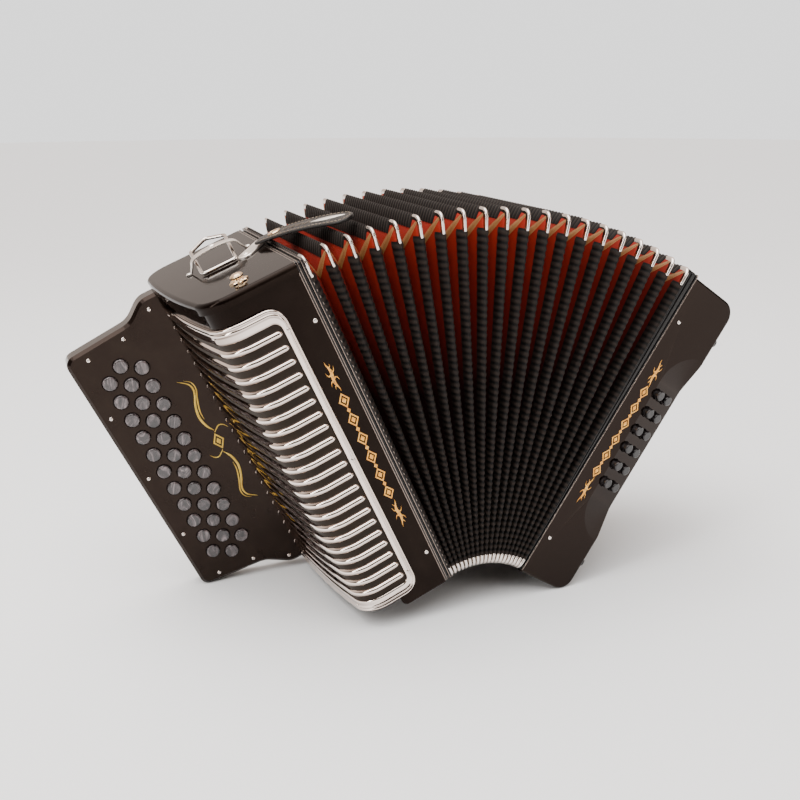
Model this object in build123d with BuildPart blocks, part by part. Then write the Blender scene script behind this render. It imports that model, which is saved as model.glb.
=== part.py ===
from build123d import *
from math import cos, radians, sin
import os

os.makedirs("parts", exist_ok=True)

# The accordion stands open like a fan. Every fold of the bellows lies on a ray from one centre below it.
# Each half of the body is drawn in the plane at its own ray: x across the fold, y front to back, z up the ray.

# driving dimensions
fan_x = 24.5            # fan centre, across
fan_z = -29.05          # fan centre, height
inner_radius = 70.2     # fan centre to the lower edge of the bellows
bellows_height = 305.0
bellows_depth = 190.0
gap_count = 19          # spaces between the 20 ridges
ridge_step = 2.875      # degrees from one ridge to the next
treble_lean = 21.86     # degrees the treble half leans out
fold_depth = 21.0       # how deep a valley lies below the ridges
fold_clearance = 0.12   # between neighbouring folds
plate_band = 22.0       # width of the bellows frame plates

front = -bellows_depth / 2
back = bellows_depth / 2
bass_lean = (gap_count + 0.5) * ridge_step - treble_lean

# treble half, across values are negative away from the bellows
frame_width = 8.0
cap_thickness = 8.0
cap_overhang = 3.3
body_height = bellows_height - cap_thickness
casing_left = -98.5
casing_wall = 5.5
casing_floor = 15.0
opening_margin = 20.0   # left round the air opening towards the bellows
base_step = 9.0         # how far the base steps up outside the grille
step_across = -50.0     # where it steps
corner_start = -61.7
corner_radius = 24.0
corner_turn = 80.0      # degrees of the tight corner, before the long bowed side
rear_radius = 22.0
cap_rounding = 3.9
sound_opening = (38.0, 243.0)
sound_opening_across = -65.0

board_front = front + 152.0
board_thickness = 20.0
board_left = -190.5
board_right = casing_left + cap_overhang
board_bevel = 2.6
guide_front = board_front + 9.0
guide_thickness = 2.0
board_skin = 3.5        # left in front of the well, over the button stems
well_centre = (-152.7, 154.5)
well_size = (62.0, 234.0)
well_corner = 8.0
treble_rows = [(-167.5, 245.9, 11), (-152.7, 255.0, 12), (-138.0, 245.9, 11)]
button_pitch = 18.2
treble_cap_radius = 6.1
treble_hole_radius = 6.8
treble_stem_radius = 2.0
stem_clearance = 0.05

grille_low = 11.0
grille_high = 284.0
grille_right = -30.5
grille_sheet = 2.3
grille_corner = 14.0
slat_count = 21
slat_pitch = 11.67
first_slat = 29.6
slot_height = 4.6

# bass half, across values are positive away from the bellows
bass_inner = 2.6
bass_outer = 58.5
bass_low = -1.5
bass_high = 302.5
bass_wall = 5.0
bass_front_wall = 15.0
bass_corner = 14.0
bass_margin = 25.0      # left round its air opening
scoop_inner = 26.0
scoop_centre = 62.0
scoop_slope = 0.27
scoop_low = 90.0
scoop_high = 211.0
bass_columns = [31.0, 43.5]
bass_rows = 6
bass_top_row = 199.0
bass_row_pitch = 18.4
bass_cap_radius = 4.6
bass_hole_radius = 5.3
bass_stem_radius = 1.75


def fan_plane(angle):
    """Plane at one ray: x across the fan, y front to back, z up the ray."""
    turn = radians(angle)
    up = Vector(sin(turn), 0, cos(turn))
    across = Vector(cos(turn), 0, -sin(turn))
    return Plane(origin=Vector(fan_x, 0, fan_z) + up * inner_radius, x_dir=across, z_dir=up)


def face_plane(base, depth):
    """Plane that faces the front: x across, y up the ray. Extruding by a negative amount goes back."""
    return Plane(origin=base.origin + Vector(0, depth, 0), x_dir=base.x_dir, z_dir=(0, -1, 0))


def side_plane(base, across):
    """Plane that faces along the fan: x front to back, y up the ray."""
    return Plane(origin=base.origin + base.x_dir * across, x_dir=(0, 1, 0), z_dir=base.x_dir)


def point_on(base, across, depth, height):
    return base.origin + base.x_dir * across + Vector(0, depth, 0) + base.z_dir * height


treble = fan_plane(-treble_lean)
bass = fan_plane(bass_lean)


def finish(piece, name):
    piece.part.label = name
    export_step(piece.part, f"parts/{name}.step")


def treble_outline(inset):
    """Outline of the treble half seen along the ray, shrunk by inset; its open side runs past the bellows."""
    front_edge = front - cap_overhang
    rear_edge = back + 3.0
    open_side = 40.0
    bend = radians(corner_turn)
    bend_start = (corner_start, front_edge)
    bend_end = (
        bend_start[0] - corner_radius * sin(bend),
        front_edge + corner_radius * (1 - cos(bend)),
    )
    with BuildSketch() as outline:
        with BuildLine():
            Line((open_side, front_edge), bend_start)
            TangentArc(bend_start, bend_end, tangent=(-1, 0))
            TangentArc(bend_end, (casing_left, board_front), tangent=(cos(bend) * -1, sin(bend)))
            Line((casing_left, board_front), (casing_left, rear_edge - rear_radius))
            TangentArc(
                (casing_left, rear_edge - rear_radius),
                (casing_left + rear_radius, rear_edge),
                tangent=(0, 1),
            )
            Polyline((casing_left + rear_radius, rear_edge), (open_side, rear_edge), (open_side, front_edge))
        make_face()
        if inset:
            offset(amount=-inset)
    return outline.sketch


cap_outline = treble_outline(0)
body_outline = treble_outline(cap_overhang)
cavity_outline = treble_outline(cap_overhang + casing_wall)
grille_outer = treble_outline(0.6)
grille_inner = treble_outline(0.6 + grille_sheet)


def keep_left_of(across):
    """Trims the sketch being drawn to what lies on the far side of this across value."""
    with Locations((across - 100, 0)):
        Rectangle(200, 400, mode=Mode.INTERSECT)


# treble casing: a hollow body under an overhanging cap
with BuildPart() as cap:
    with BuildSketch(treble.offset(body_height)):
        add(cap_outline)
        keep_left_of(-frame_width)
    extrude(amount=cap_thickness)
    top_face = cap.faces().sort_by(Axis((0, 0, 0), treble.z_dir))[-1]
    open_edge = top_face.edges().sort_by(Axis((0, 0, 0), treble.x_dir))[-1]
    fillet([edge for edge in top_face.edges() if edge != open_edge], radius=cap_rounding)

with BuildPart() as treble_casing:
    with BuildSketch(treble):
        add(body_outline)
        keep_left_of(-frame_width)
    extrude(amount=body_height)
    add(cap.part)
    with BuildSketch(treble.offset(casing_floor)):
        add(cavity_outline)
        keep_left_of(-frame_width - casing_wall)
    extrude(amount=body_height - casing_floor - casing_wall, mode=Mode.SUBTRACT)
    # air opening towards the bellows
    with BuildSketch(side_plane(treble, -frame_width)):
        with Locations((0, body_height / 2)):
            Rectangle(bellows_depth - 2 * opening_margin, body_height - 2 * opening_margin)
    extrude(amount=-2 * casing_wall, mode=Mode.SUBTRACT)
    # sound opening behind the grille
    with BuildSketch(face_plane(treble, front - cap_overhang)):
        with Locations((sound_opening_across, (grille_low + grille_high) / 2)):
            Rectangle(*sound_opening)
    extrude(amount=-(3 * casing_wall), mode=Mode.SUBTRACT)
    # raised lower edge outside the base
    with BuildSketch(face_plane(treble, front - 10)):
        with BuildLine():
            Polyline(
                (step_across + 5, 0), (step_across + 5, -2), (casing_left - 20, -2), (casing_left - 20, base_step),
                (step_across, base_step), (step_across, 5),
            )
            TangentArc((step_across, 5), (step_across + 5, 0), tangent=(0, -1))
        make_face()
    extrude(amount=-bellows_depth - 20, mode=Mode.SUBTRACT)
finish(treble_casing, "treble_casing")

# fingerboard: a hollow board with a bevelled edge and a guide for the button stems
with BuildPart() as fingerboard:
    with BuildSketch(face_plane(treble, board_front)):
        with BuildLine():
            FilletPolyline(
                (board_right, 11.5), (-109, 11.5), (-131, 27.5), (board_left, 36),
                (board_left, 278.4), (-129, 283.4), (-112, 296.5), (board_right, 296.5),
                radius=[18, 22, 8, 9, 22, 18],
            )
            Line((board_right, 296.5), (board_right, 11.5))
        make_face()
    extrude(amount=-board_thickness)
    front_edges = fingerboard.faces().sort_by(Axis.Y)[0].edges()
    right_edge = front_edges.sort_by(Axis((0, 0, 0), treble.x_dir))[-1]
    chamfer([edge for edge in front_edges if edge != right_edge], length=board_bevel)
    # hollow, with the guide left standing across it
    with BuildSketch(face_plane(treble, board_front + board_skin)):
        with Locations(well_centre):
            RectangleRounded(*well_size, well_corner)
    extrude(amount=-(board_thickness - 6), mode=Mode.SUBTRACT)
    with BuildSketch(face_plane(treble, guide_front)):
        with Locations(well_centre):
            Rectangle(well_size[0] + 2, well_size[1] + 2)
    extrude(amount=-guide_thickness)
    for across, top, count in treble_rows:
        with BuildSketch(face_plane(treble, board_front)):
            with Locations(*[(across, top - i * button_pitch) for i in range(count)]):
                Circle(treble_hole_radius)
        extrude(amount=-4, mode=Mode.SUBTRACT)
        with BuildSketch(face_plane(treble, guide_front - 1)):
            with Locations(*[(across, top - i * button_pitch) for i in range(count)]):
                Circle(treble_stem_radius + stem_clearance)
        extrude(amount=-(guide_thickness + 2), mode=Mode.SUBTRACT)
finish(fingerboard, "fingerboard")

# treble buttons: a domed cap on a stem
cap_proud = 2.4
cap_length = 7.0
stem_end = 13.5
row_names = ["outer", "middle", "inner"]
for row_name, (across, top, count) in zip(row_names, treble_rows):
    for i in range(count):
        height = top - i * button_pitch
        with BuildPart() as button:
            with BuildSketch(face_plane(treble, board_front - cap_proud)):
                with Locations((across, height)):
                    Circle(treble_cap_radius)
            extrude(amount=-cap_length)
            fillet(button.edges().sort_by(Axis.Y)[0], radius=1.4)
            with BuildSketch(face_plane(treble, board_front)):
                with Locations((across, height)):
                    Circle(treble_stem_radius)
            extrude(amount=-stem_end)
        finish(button, f"treble_button_{row_name}_{i + 1:02d}")

# treble grille: a sheet that wraps the front corner, with long slots between its slats
with BuildPart() as treble_grille:
    with BuildSketch(treble.offset(grille_low)):
        add(grille_outer)
        add(grille_inner, mode=Mode.SUBTRACT)
        keep_left_of(grille_right)
        with Locations((0, board_front - 200.3)):
            Rectangle(400, 400, mode=Mode.INTERSECT)
    extrude(amount=grille_high - grille_low)
    with BuildSketch(face_plane(treble, front - 20)):
        with Locations((grille_right - 60, (grille_low + grille_high) / 2)):
            RectangleRounded(120, grille_high - grille_low, grille_corner)
        with Locations((-101, (grille_low + grille_high) / 2)):
            Rectangle(60, grille_high - grille_low)
    extrude(amount=-200, mode=Mode.INTERSECT)
    for i in range(slat_count + 1):
        slot_centre = first_slat + (i - 0.5) * slat_pitch
        with BuildSketch(treble.offset(slot_centre - slot_height / 2)):
            with Locations((grille_right - 9 - 60, front - 20 + 80)):
                Rectangle(120, 160)
        extrude(amount=slot_height, mode=Mode.SUBTRACT)
finish(treble_grille, "treble_grille")


def plate_ring(base, across, thickness, shrink):
    """A flat ring of the bellows frame."""
    with BuildPart() as ring:
        with BuildSketch(side_plane(base, across)):
            with Locations((0, bellows_height / 2)):
                Rectangle(bellows_depth - shrink, bellows_height - shrink)
                Rectangle(bellows_depth - 2 * plate_band, bellows_height - 2 * plate_band, mode=Mode.SUBTRACT)
        extrude(amount=thickness)
    return ring.part


def bellows_section_at(plane, inset, bottom_inset):
    """Rectangle of the bellows on a plane across it, drawn in at the edges."""
    with BuildSketch(plane) as section:
        with Locations((0, (bellows_height - inset + bottom_inset) / 2)):
            Rectangle(bellows_depth - 2 * inset, bellows_height - inset - bottom_inset)
    return section.sketch


def ray(angle):
    return side_plane(fan_plane(angle), 0)


def ruled_ring(outer_sections, inner_sections):
    """A straight-sided hollow ring between two rectangles."""
    with BuildPart() as hollow:
        loft(sections=inner_sections, ruled=True)
    with BuildPart() as ring:
        loft(sections=outer_sections, ruled=True)
        add(hollow.part, mode=Mode.SUBTRACT)
    return ring.part


def half_fold(ridge_angle, valley_angle):
    """Cloth-covered card from a ridge to a valley."""
    inner = fold_depth + 3
    return ruled_ring(
        [bellows_section_at(ray(ridge_angle), 0, 0), bellows_section_at(ray(valley_angle), fold_depth, fold_depth)],
        [bellows_section_at(ray(ridge_angle), 5, 14), bellows_section_at(ray(valley_angle), inner, inner + 11)],
    )


half_step = ridge_step / 2 - fold_clearance / inner_radius
first_ridge = -treble_lean
last_ridge = first_ridge + gap_count * ridge_step

# treble bellows frame: three plates and the first half fold
treble_plates = [
    plate_ring(treble, -frame_width, 2.4, 0),
    plate_ring(treble, -frame_width + 2.4, 2.6, 4),
    plate_ring(treble, -frame_width + 5.0, 3.0, 0),
]
first_half_fold = half_fold(first_ridge, first_ridge + half_step)
with BuildPart() as treble_bellows_frame:
    add(treble_plates)
    add(first_half_fold)
finish(treble_bellows_frame, "treble_bellows_frame")

# the free folds, in two sections of nine
for section_name, first in (("bellows_section_1", 1), ("bellows_section_2", 10)):
    halves = []
    for ridge in range(first, first + 9):
        angle = first_ridge + ridge * ridge_step
        halves.append(half_fold(angle, angle - half_step))
        halves.append(half_fold(angle, angle + half_step))
    with BuildPart() as bellows_section:
        add(halves)
    finish(bellows_section, section_name)

# bass bellows frame: two plates and the last fold, which closes on the plates
plate_start = -1.0
plate_split = 0.6
last_half_fold = half_fold(last_ridge, last_ridge - half_step)
closing_half = ruled_ring(
    [bellows_section_at(ray(last_ridge), 0, 0), bellows_section_at(side_plane(bass, plate_start), 1, 1)],
    [bellows_section_at(ray(last_ridge), 5, 14), bellows_section_at(side_plane(bass, plate_start), 6, 15)],
)
bass_plates = [
    plate_ring(bass, plate_start, plate_split - plate_start, 3),
    plate_ring(bass, plate_split, bass_inner - plate_split, 0),
]
with BuildPart() as bass_bellows_frame:
    add(last_half_fold)
    add(closing_half)
    add(bass_plates)
finish(bass_bellows_frame, "bass_bellows_frame")


def bass_surface(across):
    """How far back the scooped button field lies at this across value."""
    return front + scoop_slope * (across - scoop_inner)


scoop_normal = (bass.x_dir * scoop_slope + Vector(0, -1, 0)).normalized()
bass_button_planes = [
    Plane(origin=point_on(bass, across, bass_surface(across), bass_top_row - i * bass_row_pitch),
          x_dir=bass.z_dir, z_dir=scoop_normal)
    for across in bass_columns
    for i in range(bass_rows)
]
air_across = 42.0
air_height = 214.0
air_stem_radius = 2.5
air_proud = 5.8
air_cap = 2.8
air_cap_radius = 7.5

# bass casing: a hollow box with a sloping, round-ended field for the buttons
with BuildPart() as bass_casing:
    with BuildSketch(face_plane(bass, front)):
        with BuildLine():
            turn_start = bass_outer - bass_corner
            Polyline((turn_start, bass_low), (bass_inner, bass_low), (bass_inner, bass_high), (turn_start, bass_high))
            TangentArc((turn_start, bass_high), (bass_outer, bass_high - bass_corner), tangent=(1, 0))
            Line((bass_outer, bass_high - bass_corner), (bass_outer, bass_low + bass_corner))
            TangentArc((bass_outer, bass_low + bass_corner), (turn_start, bass_low), tangent=(0, -1))
        make_face()
    extrude(amount=-bellows_depth)
    for face in (bass_casing.faces().sort_by(Axis.Y)[0], bass_casing.faces().sort_by(Axis.Y)[-1]):
        inner_edge = face.edges().sort_by(Axis((0, 0, 0), bass.x_dir))[0]
        fillet([edge for edge in face.edges() if edge != inner_edge], radius=2.0)
    with BuildSketch(bass.offset(bass_wall)):
        with Locations(((bass_inner + bass_outer) / 2, (bass_front_wall - bass_wall) / 2)):
            Rectangle(bass_outer - bass_inner - 2 * bass_wall, bellows_depth - bass_wall - bass_front_wall)
    extrude(amount=bass_high - 2 * bass_wall, mode=Mode.SUBTRACT)
    # air opening towards the bellows
    with BuildSketch(side_plane(bass, bass_inner)):
        with Locations((0, bellows_height / 2)):
            Rectangle(bellows_depth - 2 * bass_margin, bellows_height - 2 * bass_margin)
    extrude(amount=2 * bass_wall, mode=Mode.SUBTRACT)
    # scooped field, straight in the middle and conical at both ends
    with BuildSketch(bass.offset(scoop_low)):
        with BuildLine():
            Polyline((scoop_inner, front), (scoop_centre, bass_surface(scoop_centre)),
                     (scoop_centre, front - 5), (scoop_inner, front - 5), (scoop_inner, front))
        make_face()
    extrude(amount=scoop_high - scoop_low, mode=Mode.SUBTRACT)
    for height in (scoop_low, scoop_high):
        with BuildSketch(bass.offset(height)):
            with BuildLine():
                Polyline((scoop_inner, front), (scoop_centre, bass_surface(scoop_centre)),
                         (scoop_centre, front), (scoop_inner, front))
            make_face()
        revolve(axis=Axis(point_on(bass, scoop_centre, 0, height), (0, 1, 0)), mode=Mode.SUBTRACT)
    for plane in bass_button_planes:
        with BuildSketch(plane):
            Circle(bass_hole_radius)
        extrude(amount=-7, mode=Mode.SUBTRACT)
        with BuildSketch(plane):
            Circle(bass_stem_radius + stem_clearance)
        extrude(amount=-22, mode=Mode.SUBTRACT)
    with BuildSketch(face_plane(bass, back + 1)):
        with Locations((air_across, air_height)):
            Circle(air_stem_radius + stem_clearance)
    extrude(amount=bass_wall + 3, mode=Mode.SUBTRACT)
finish(bass_casing, "bass_casing")

# bass buttons
for number, plane in enumerate(bass_button_planes):
    with BuildPart() as button:
        with BuildSketch(plane.offset(6.4)):
            Circle(bass_cap_radius)
        extrude(amount=-8)
        fillet(button.edges().sort_by(Axis((0, 0, 0), scoop_normal))[-1], radius=1.2)
        with BuildSketch(plane):
            Circle(bass_stem_radius)
        extrude(amount=-18)
    column = "inner" if number < bass_rows else "outer"
    finish(button, f"bass_button_{column}_{number % bass_rows + 1}")

# air button on the back of the bass casing
with BuildPart() as air_button:
    with BuildSketch(face_plane(bass, back + air_proud)):
        with Locations((air_across, air_height)):
            Circle(air_cap_radius)
    extrude(amount=air_cap)
    fillet(air_button.edges().sort_by(Axis.Y)[-1], radius=1.2)
    with BuildSketch(face_plane(bass, back + air_proud - 1)):
        with Locations((air_across, air_height)):
            Circle(air_stem_radius)
    extrude(amount=20)
finish(air_button, "air_button")

# treble fittings: stud, ring bracket, strap tab, bellows pins, board and grille screws
stud_across, stud_depth = -47.0, front + 21
ring_depth = front + 112
bracket_ends = (-67.4, -18.6)
bracket_width = 12.0
bracket_lean = 3.0      # how far each leg leans in
bracket_rise = 10.0
bracket_bow = 2.8
pin_radius = 1.8
board_screw_radius = 1.6
pin_height = 1.2
post_across = -43.0
tab_root = (-25.0, front + 86)
tab_end_radius = 6.5
tab_thickness = 1.6
strap_root = (-7.0, front + 100)
strap_tip = (53.0, front + 31)
pin_across = -12.3
pin_heights = [36.0, 259.5]
board_screws = [
    (-172.5, 271), (-139.5, 274), (-109, 286.5), (-182, 218.5), (-182, 155.5), (-182, 93),
    (-173, 41), (-139.5, 36), (-109, 20),
]
grille_screws = [(-34.5, 263), (-34.5, 146), (-34.5, 30)]


def screw_heads(plane, places, radius, height):
    """Low round heads standing on a plane."""
    with BuildPart() as heads:
        with BuildSketch(plane):
            with Locations(*places):
                Circle(radius)
        extrude(amount=height)
        fillet(heads.faces().filter_by(GeomType.PLANE).sort_by(Axis((0, 0, 0), plane.z_dir))[-len(places):].edges(),
               radius=height * 0.6)
    return heads.part


def turned_on(base, across, depth, height, profile):
    """A round piece standing on a surface across the ray, from (radius, height) points."""
    centre = point_on(base, across, depth, height)
    with BuildPart() as piece:
        with BuildSketch(Plane(origin=centre, x_dir=base.x_dir, z_dir=(0, -1, 0))):
            with BuildLine():
                Polyline((0, 0), *profile, (0, profile[-1][1]), (0, 0))
            make_face()
        revolve(axis=Axis(centre, base.z_dir))
    return piece.part


stud = turned_on(treble, stud_across, stud_depth, bellows_height,
                 [(7, 0), (7, 1.6), (3.4, 2.6), (3.4, 4.4), (6, 5.2), (6, 8.2), (4.4, 9.6)])
post = turned_on(treble, post_across, ring_depth, bellows_height,
                 [(2.2, 0), (2.2, 12.5), (3.6, 12.8), (3.6, 13.8), (2, 14.6)])
tab_screw = turned_on(treble, tab_root[0], tab_root[1], bellows_height + tab_thickness, [(3, 0), (3, 0.5), (1.5, 1.2)])
with BuildPart() as bracket:
    with BuildSketch(face_plane(treble, ring_depth - bracket_width / 2)):
        with BuildLine():
            left, right = bracket_ends
            top = bellows_height + bracket_rise
            Polyline((left + 1.8, bellows_height), (left, bellows_height), (left + bracket_lean, top))
            ThreePointArc((left + bracket_lean, top), (post_across, top + bracket_bow), (right - bracket_lean, top))
            Polyline((right - bracket_lean, top), (right, bellows_height), (right - 1.8, bellows_height),
                     (right - bracket_lean - 1.5, top - 1.4))
            ThreePointArc((right - bracket_lean - 1.5, top - 1.4), (post_across, top + bracket_bow - 1.6),
                          (left + bracket_lean + 1.5, top - 1.4))
            Line((left + bracket_lean + 1.5, top - 1.4), (left + 1.8, bellows_height))
        make_face()
    extrude(amount=-bracket_width)
with BuildPart() as tab:
    with BuildSketch(treble.offset(bellows_height)):
        with BuildLine():
            tab_line = Line(tab_root, (strap_root[0] + 2, strap_root[1] + 8))
        with Locations(tab_line @ 0, tab_line @ 1):
            Circle(tab_end_radius)
        make_hull()
    extrude(amount=tab_thickness)
pins = [
    screw_heads(face_plane(treble, front), [(pin_across, height) for height in pin_heights], pin_radius, pin_height),
    screw_heads(face_plane(treble, board_front), board_screws, board_screw_radius, 0.9),
    screw_heads(face_plane(treble, front - cap_overhang + 0.6), grille_screws, board_screw_radius, 0.8),
]
with BuildPart() as treble_fittings:
    add([stud, post, tab_screw, bracket.part, tab.part])
    add(pins)
finish(treble_fittings, "treble_fittings")

# wire ring for the shoulder strap, held under the bracket
wire_radius = 1.5
ring_slope = 0.18
ring_low = bellows_height + wire_radius + 0.3
ring_front = front + 86
ring_stretch = (1 + ring_slope ** 2) ** 0.5
ring_along = (Vector(0, 1, 0) + treble.z_dir * ring_slope).normalized()
ring_plane = Plane(origin=point_on(treble, 0, ring_front, ring_low), x_dir=treble.x_dir,
                   z_dir=treble.x_dir.cross(ring_along))
ring_corners = [(-62, 0), (-33, 0), (-26, 53), (-41, 64), (-58, 50)]
with BuildPart() as shoulder_strap_ring:
    with BuildLine(ring_plane) as ring_path:
        FilletPolyline(*[(x, y * ring_stretch) for x, y in ring_corners], radius=4, close=True)
    with BuildSketch(Plane(origin=ring_path.line @ 0, z_dir=ring_path.line % 0)):
        Circle(wire_radius)
    sweep(path=ring_path.line)
finish(shoulder_strap_ring, "shoulder_strap_ring")

# bellows strap: leather with a rounded tip, hinged where it meets its tab
strap_gap = 0.3
strap_thickness = 3.0
strap_width = 22.0
strap_run = Vector(strap_tip[0] - strap_root[0], strap_tip[1] - strap_root[1], 0)
strap_along = (treble.x_dir * strap_run.X + Vector(0, strap_run.Y, 0)).normalized()
strap_plane = Plane(origin=point_on(treble, *strap_root, bellows_height + tab_thickness + strap_gap),
                    x_dir=strap_along, z_dir=treble.z_dir)
with BuildPart() as bellows_strap:
    with BuildSketch(strap_plane):
        with Locations((strap_run.length / 2 - strap_width / 4, 0)):
            Rectangle(strap_run.length - strap_width / 2, strap_width)
        with Locations((strap_run.length - strap_width / 2, 0)):
            Circle(strap_width / 2)
    extrude(amount=strap_thickness)
    fillet(bellows_strap.faces().sort_by(Axis((0, 0, 0), strap_along))[0].edges()
           .filter_by(Axis((0, 0, 0), strap_plane.y_dir)), radius=strap_thickness * 0.48)
finish(bellows_strap, "bellows_strap")

# bass fittings: four feet, the end plates of the hand strap, bellows pins
foot_height = 6.0
foot_radius = 5.0
foot_places = [(side, height) for side in (front + 10, back - 10) for height in (30.0, 267.0)]
strap_half_width = 27.5
strap_shift = 6.0
leather = 3.4
clamp_heights = [16.0, 284.0]
clamp_length = 11.0
clamp_leg = 8.0
with BuildPart() as bass_fittings:
    with BuildSketch(side_plane(bass, bass_outer)):
        with Locations(*foot_places):
            Circle(foot_radius)
    extrude(amount=foot_height, taper=8)
    for height in clamp_heights:
        with BuildSketch(side_plane(bass, bass_outer)):
            with Locations((strap_shift, height)):
                Rectangle(2 * (strap_half_width + clamp_leg), clamp_length)
        extrude(amount=leather + 2.2)
        with BuildSketch(side_plane(bass, bass_outer)):
            with Locations((strap_shift, height)):
                Rectangle(2 * strap_half_width + 0.8, clamp_length)
        extrude(amount=leather + 0.4, mode=Mode.SUBTRACT)
    for depth in (front, back):
        facing = Plane(origin=bass.origin + Vector(0, depth, 0), x_dir=bass.x_dir * (1 if depth < 0 else -1),
                       z_dir=(0, -1 if depth < 0 else 1, 0))
        with BuildSketch(facing):
            with Locations(*[(10 if depth < 0 else -10, height) for height in (38.0, 262.0)]):
                Circle(pin_radius)
        extrude(amount=pin_height)
finish(bass_fittings, "bass_fittings")

# hand strap: leather bowed out from the bass casing, flat under its two end plates
strap_face = bass_outer + 0.2
strap_bow = 36.0


def strap_edge(shift):
    """One edge of the hand strap, from its upper end to its lower end."""
    low, high = clamp_heights
    across = strap_face + shift
    half_clamp = clamp_length / 2
    return [
        Line((across, high + half_clamp), (across, high - half_clamp)),
        Spline((across, high - half_clamp), (across + strap_bow, (low + high) / 2), (across, low + half_clamp),
               tangents=((0, -1), (0, -1))),
        Line((across, low + half_clamp), (across, low - half_clamp)),
    ]


inner_edge_curves = strap_edge(0)
outer_edge_curves = strap_edge(leather)
with BuildPart() as hand_strap:
    with BuildSketch(face_plane(bass, strap_shift - strap_half_width)):
        with BuildLine():
            add(inner_edge_curves)
            add(outer_edge_curves)
            for end in (clamp_heights[0] - clamp_length / 2, clamp_heights[1] + clamp_length / 2):
                Line((strap_face, end), (strap_face + leather, end))
        make_face()
    extrude(amount=-2 * strap_half_width)
finish(hand_strap, "hand_strap")
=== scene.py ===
import math

import bmesh
import bpy
import numpy as np
from mathutils import Matrix, Vector


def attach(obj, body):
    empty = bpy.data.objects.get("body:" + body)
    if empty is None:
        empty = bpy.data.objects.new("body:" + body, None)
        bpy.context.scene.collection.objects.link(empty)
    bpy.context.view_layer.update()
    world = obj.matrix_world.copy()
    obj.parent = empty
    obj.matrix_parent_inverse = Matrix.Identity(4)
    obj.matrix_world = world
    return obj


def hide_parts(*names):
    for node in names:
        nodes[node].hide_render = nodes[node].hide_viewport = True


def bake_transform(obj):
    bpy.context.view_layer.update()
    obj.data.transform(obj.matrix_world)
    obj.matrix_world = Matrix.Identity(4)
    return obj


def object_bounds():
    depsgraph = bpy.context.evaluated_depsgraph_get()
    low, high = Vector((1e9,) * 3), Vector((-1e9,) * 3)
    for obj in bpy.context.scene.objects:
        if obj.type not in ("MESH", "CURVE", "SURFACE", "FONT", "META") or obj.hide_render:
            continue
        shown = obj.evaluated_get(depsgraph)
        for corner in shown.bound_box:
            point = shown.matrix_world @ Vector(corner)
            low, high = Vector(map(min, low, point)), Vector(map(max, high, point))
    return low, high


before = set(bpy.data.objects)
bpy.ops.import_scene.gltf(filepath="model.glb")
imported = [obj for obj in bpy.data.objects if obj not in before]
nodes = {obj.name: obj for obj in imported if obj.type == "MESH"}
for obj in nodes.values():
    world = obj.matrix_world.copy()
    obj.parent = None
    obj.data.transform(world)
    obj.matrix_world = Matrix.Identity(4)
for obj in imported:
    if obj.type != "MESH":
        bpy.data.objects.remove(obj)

cadLow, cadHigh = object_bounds()
mm = 0.001

fan = dict(
    centreX=24.5, centreZ=-29.05,   # centre that every fold points to
    radius=70.2,                    # centre to the lower edge of the bellows
    height=305.0, halfDepth=95.0,
    firstRidge=-21.86, step=2.875,  # degrees
    gaps=19, foldDepth=21.0,
    linkTurn=18.6875,               # degrees that each of the three bellows links covers
    cornerRound=6.0, roundLoss=0.8, leastRound=1.0,     # how the corners tighten towards the valleys
)
trebleLean = fan["firstRidge"]
bassLean = fan["firstRidge"] + 3 * fan["linkTurn"]


def rayMatrix(angle):
    turn = math.radians(angle)
    up = Vector((math.sin(turn), 0, math.cos(turn)))
    across = Vector((math.cos(turn), 0, -math.sin(turn)))
    origin = (Vector((fan["centreX"], 0, fan["centreZ"])) + up * fan["radius"]) * mm
    turned = Matrix((across, (0, 1, 0), up)).transposed().to_4x4()
    return Matrix.Translation(origin) @ turned


treble = rayMatrix(trebleLean)
bass = rayMatrix(bassLean)
plain = Matrix.Identity(4)


# mesh helpers
def gridFaces(rows, columns, closeRows=False, closeColumns=False, start=0):
    faces = []
    for r in range(rows if closeRows else rows - 1):
        for c in range(columns if closeColumns else columns - 1):
            nextR, nextC = (r + 1) % rows, (c + 1) % columns
            faces.append(tuple(start + k for k in (
                r * columns + c, r * columns + nextC, nextR * columns + nextC, nextR * columns + c)))
    return faces


class Shape:
    # Gathers vertices and faces, in millimetres.

    def __init__(self):
        self.verts, self.faces, self.uvs = [], [], []

    def grid(self, rows, closeRows=False, closeColumns=False, uv=None, capEnds=False):
        start, columns = len(self.verts), len(rows[0])
        for row in rows:
            self.verts.extend(row)
        self.faces += gridFaces(len(rows), columns, closeRows, closeColumns, start)
        if capEnds:
            self.faces.append(tuple(range(start + columns - 1, start - 1, -1)))
            last = start + (len(rows) - 1) * columns
            self.faces.append(tuple(range(last, last + columns)))
        if uv:
            for row in uv:
                self.uvs.extend(row)
        return start


def makePiece(name, shape, matrix, material, smooth=40, facing=True):
    mesh = bpy.data.meshes.new(name)
    mesh.from_pydata([tuple(c * mm for c in v) for v in shape.verts], [], shape.faces)
    mesh.validate()
    if shape.uvs:
        layer = mesh.uv_layers.new(name="cloth")
        for loop in mesh.loops:
            layer.data[loop.index].uv = shape.uvs[loop.vertex_index]
    work = bmesh.new()
    work.from_mesh(mesh)
    if facing:
        bmesh.ops.recalc_face_normals(work, faces=work.faces)
    work.to_mesh(mesh)
    work.free()
    mesh.shade_smooth()
    mesh.set_sharp_from_angle(angle=math.radians(smooth))
    piece = bpy.data.objects.new(name, mesh)
    bpy.context.scene.collection.objects.link(piece)
    mesh.transform(matrix)
    mesh.materials.append(material)
    return piece


def addPiece(name, shape, matrix, material, body, slot, replaces=(), **options):
    piece = makePiece(name, shape, matrix, material, **options)
    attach(piece, body)
    if replaces:
        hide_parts(*replaces)
    return piece


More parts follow.
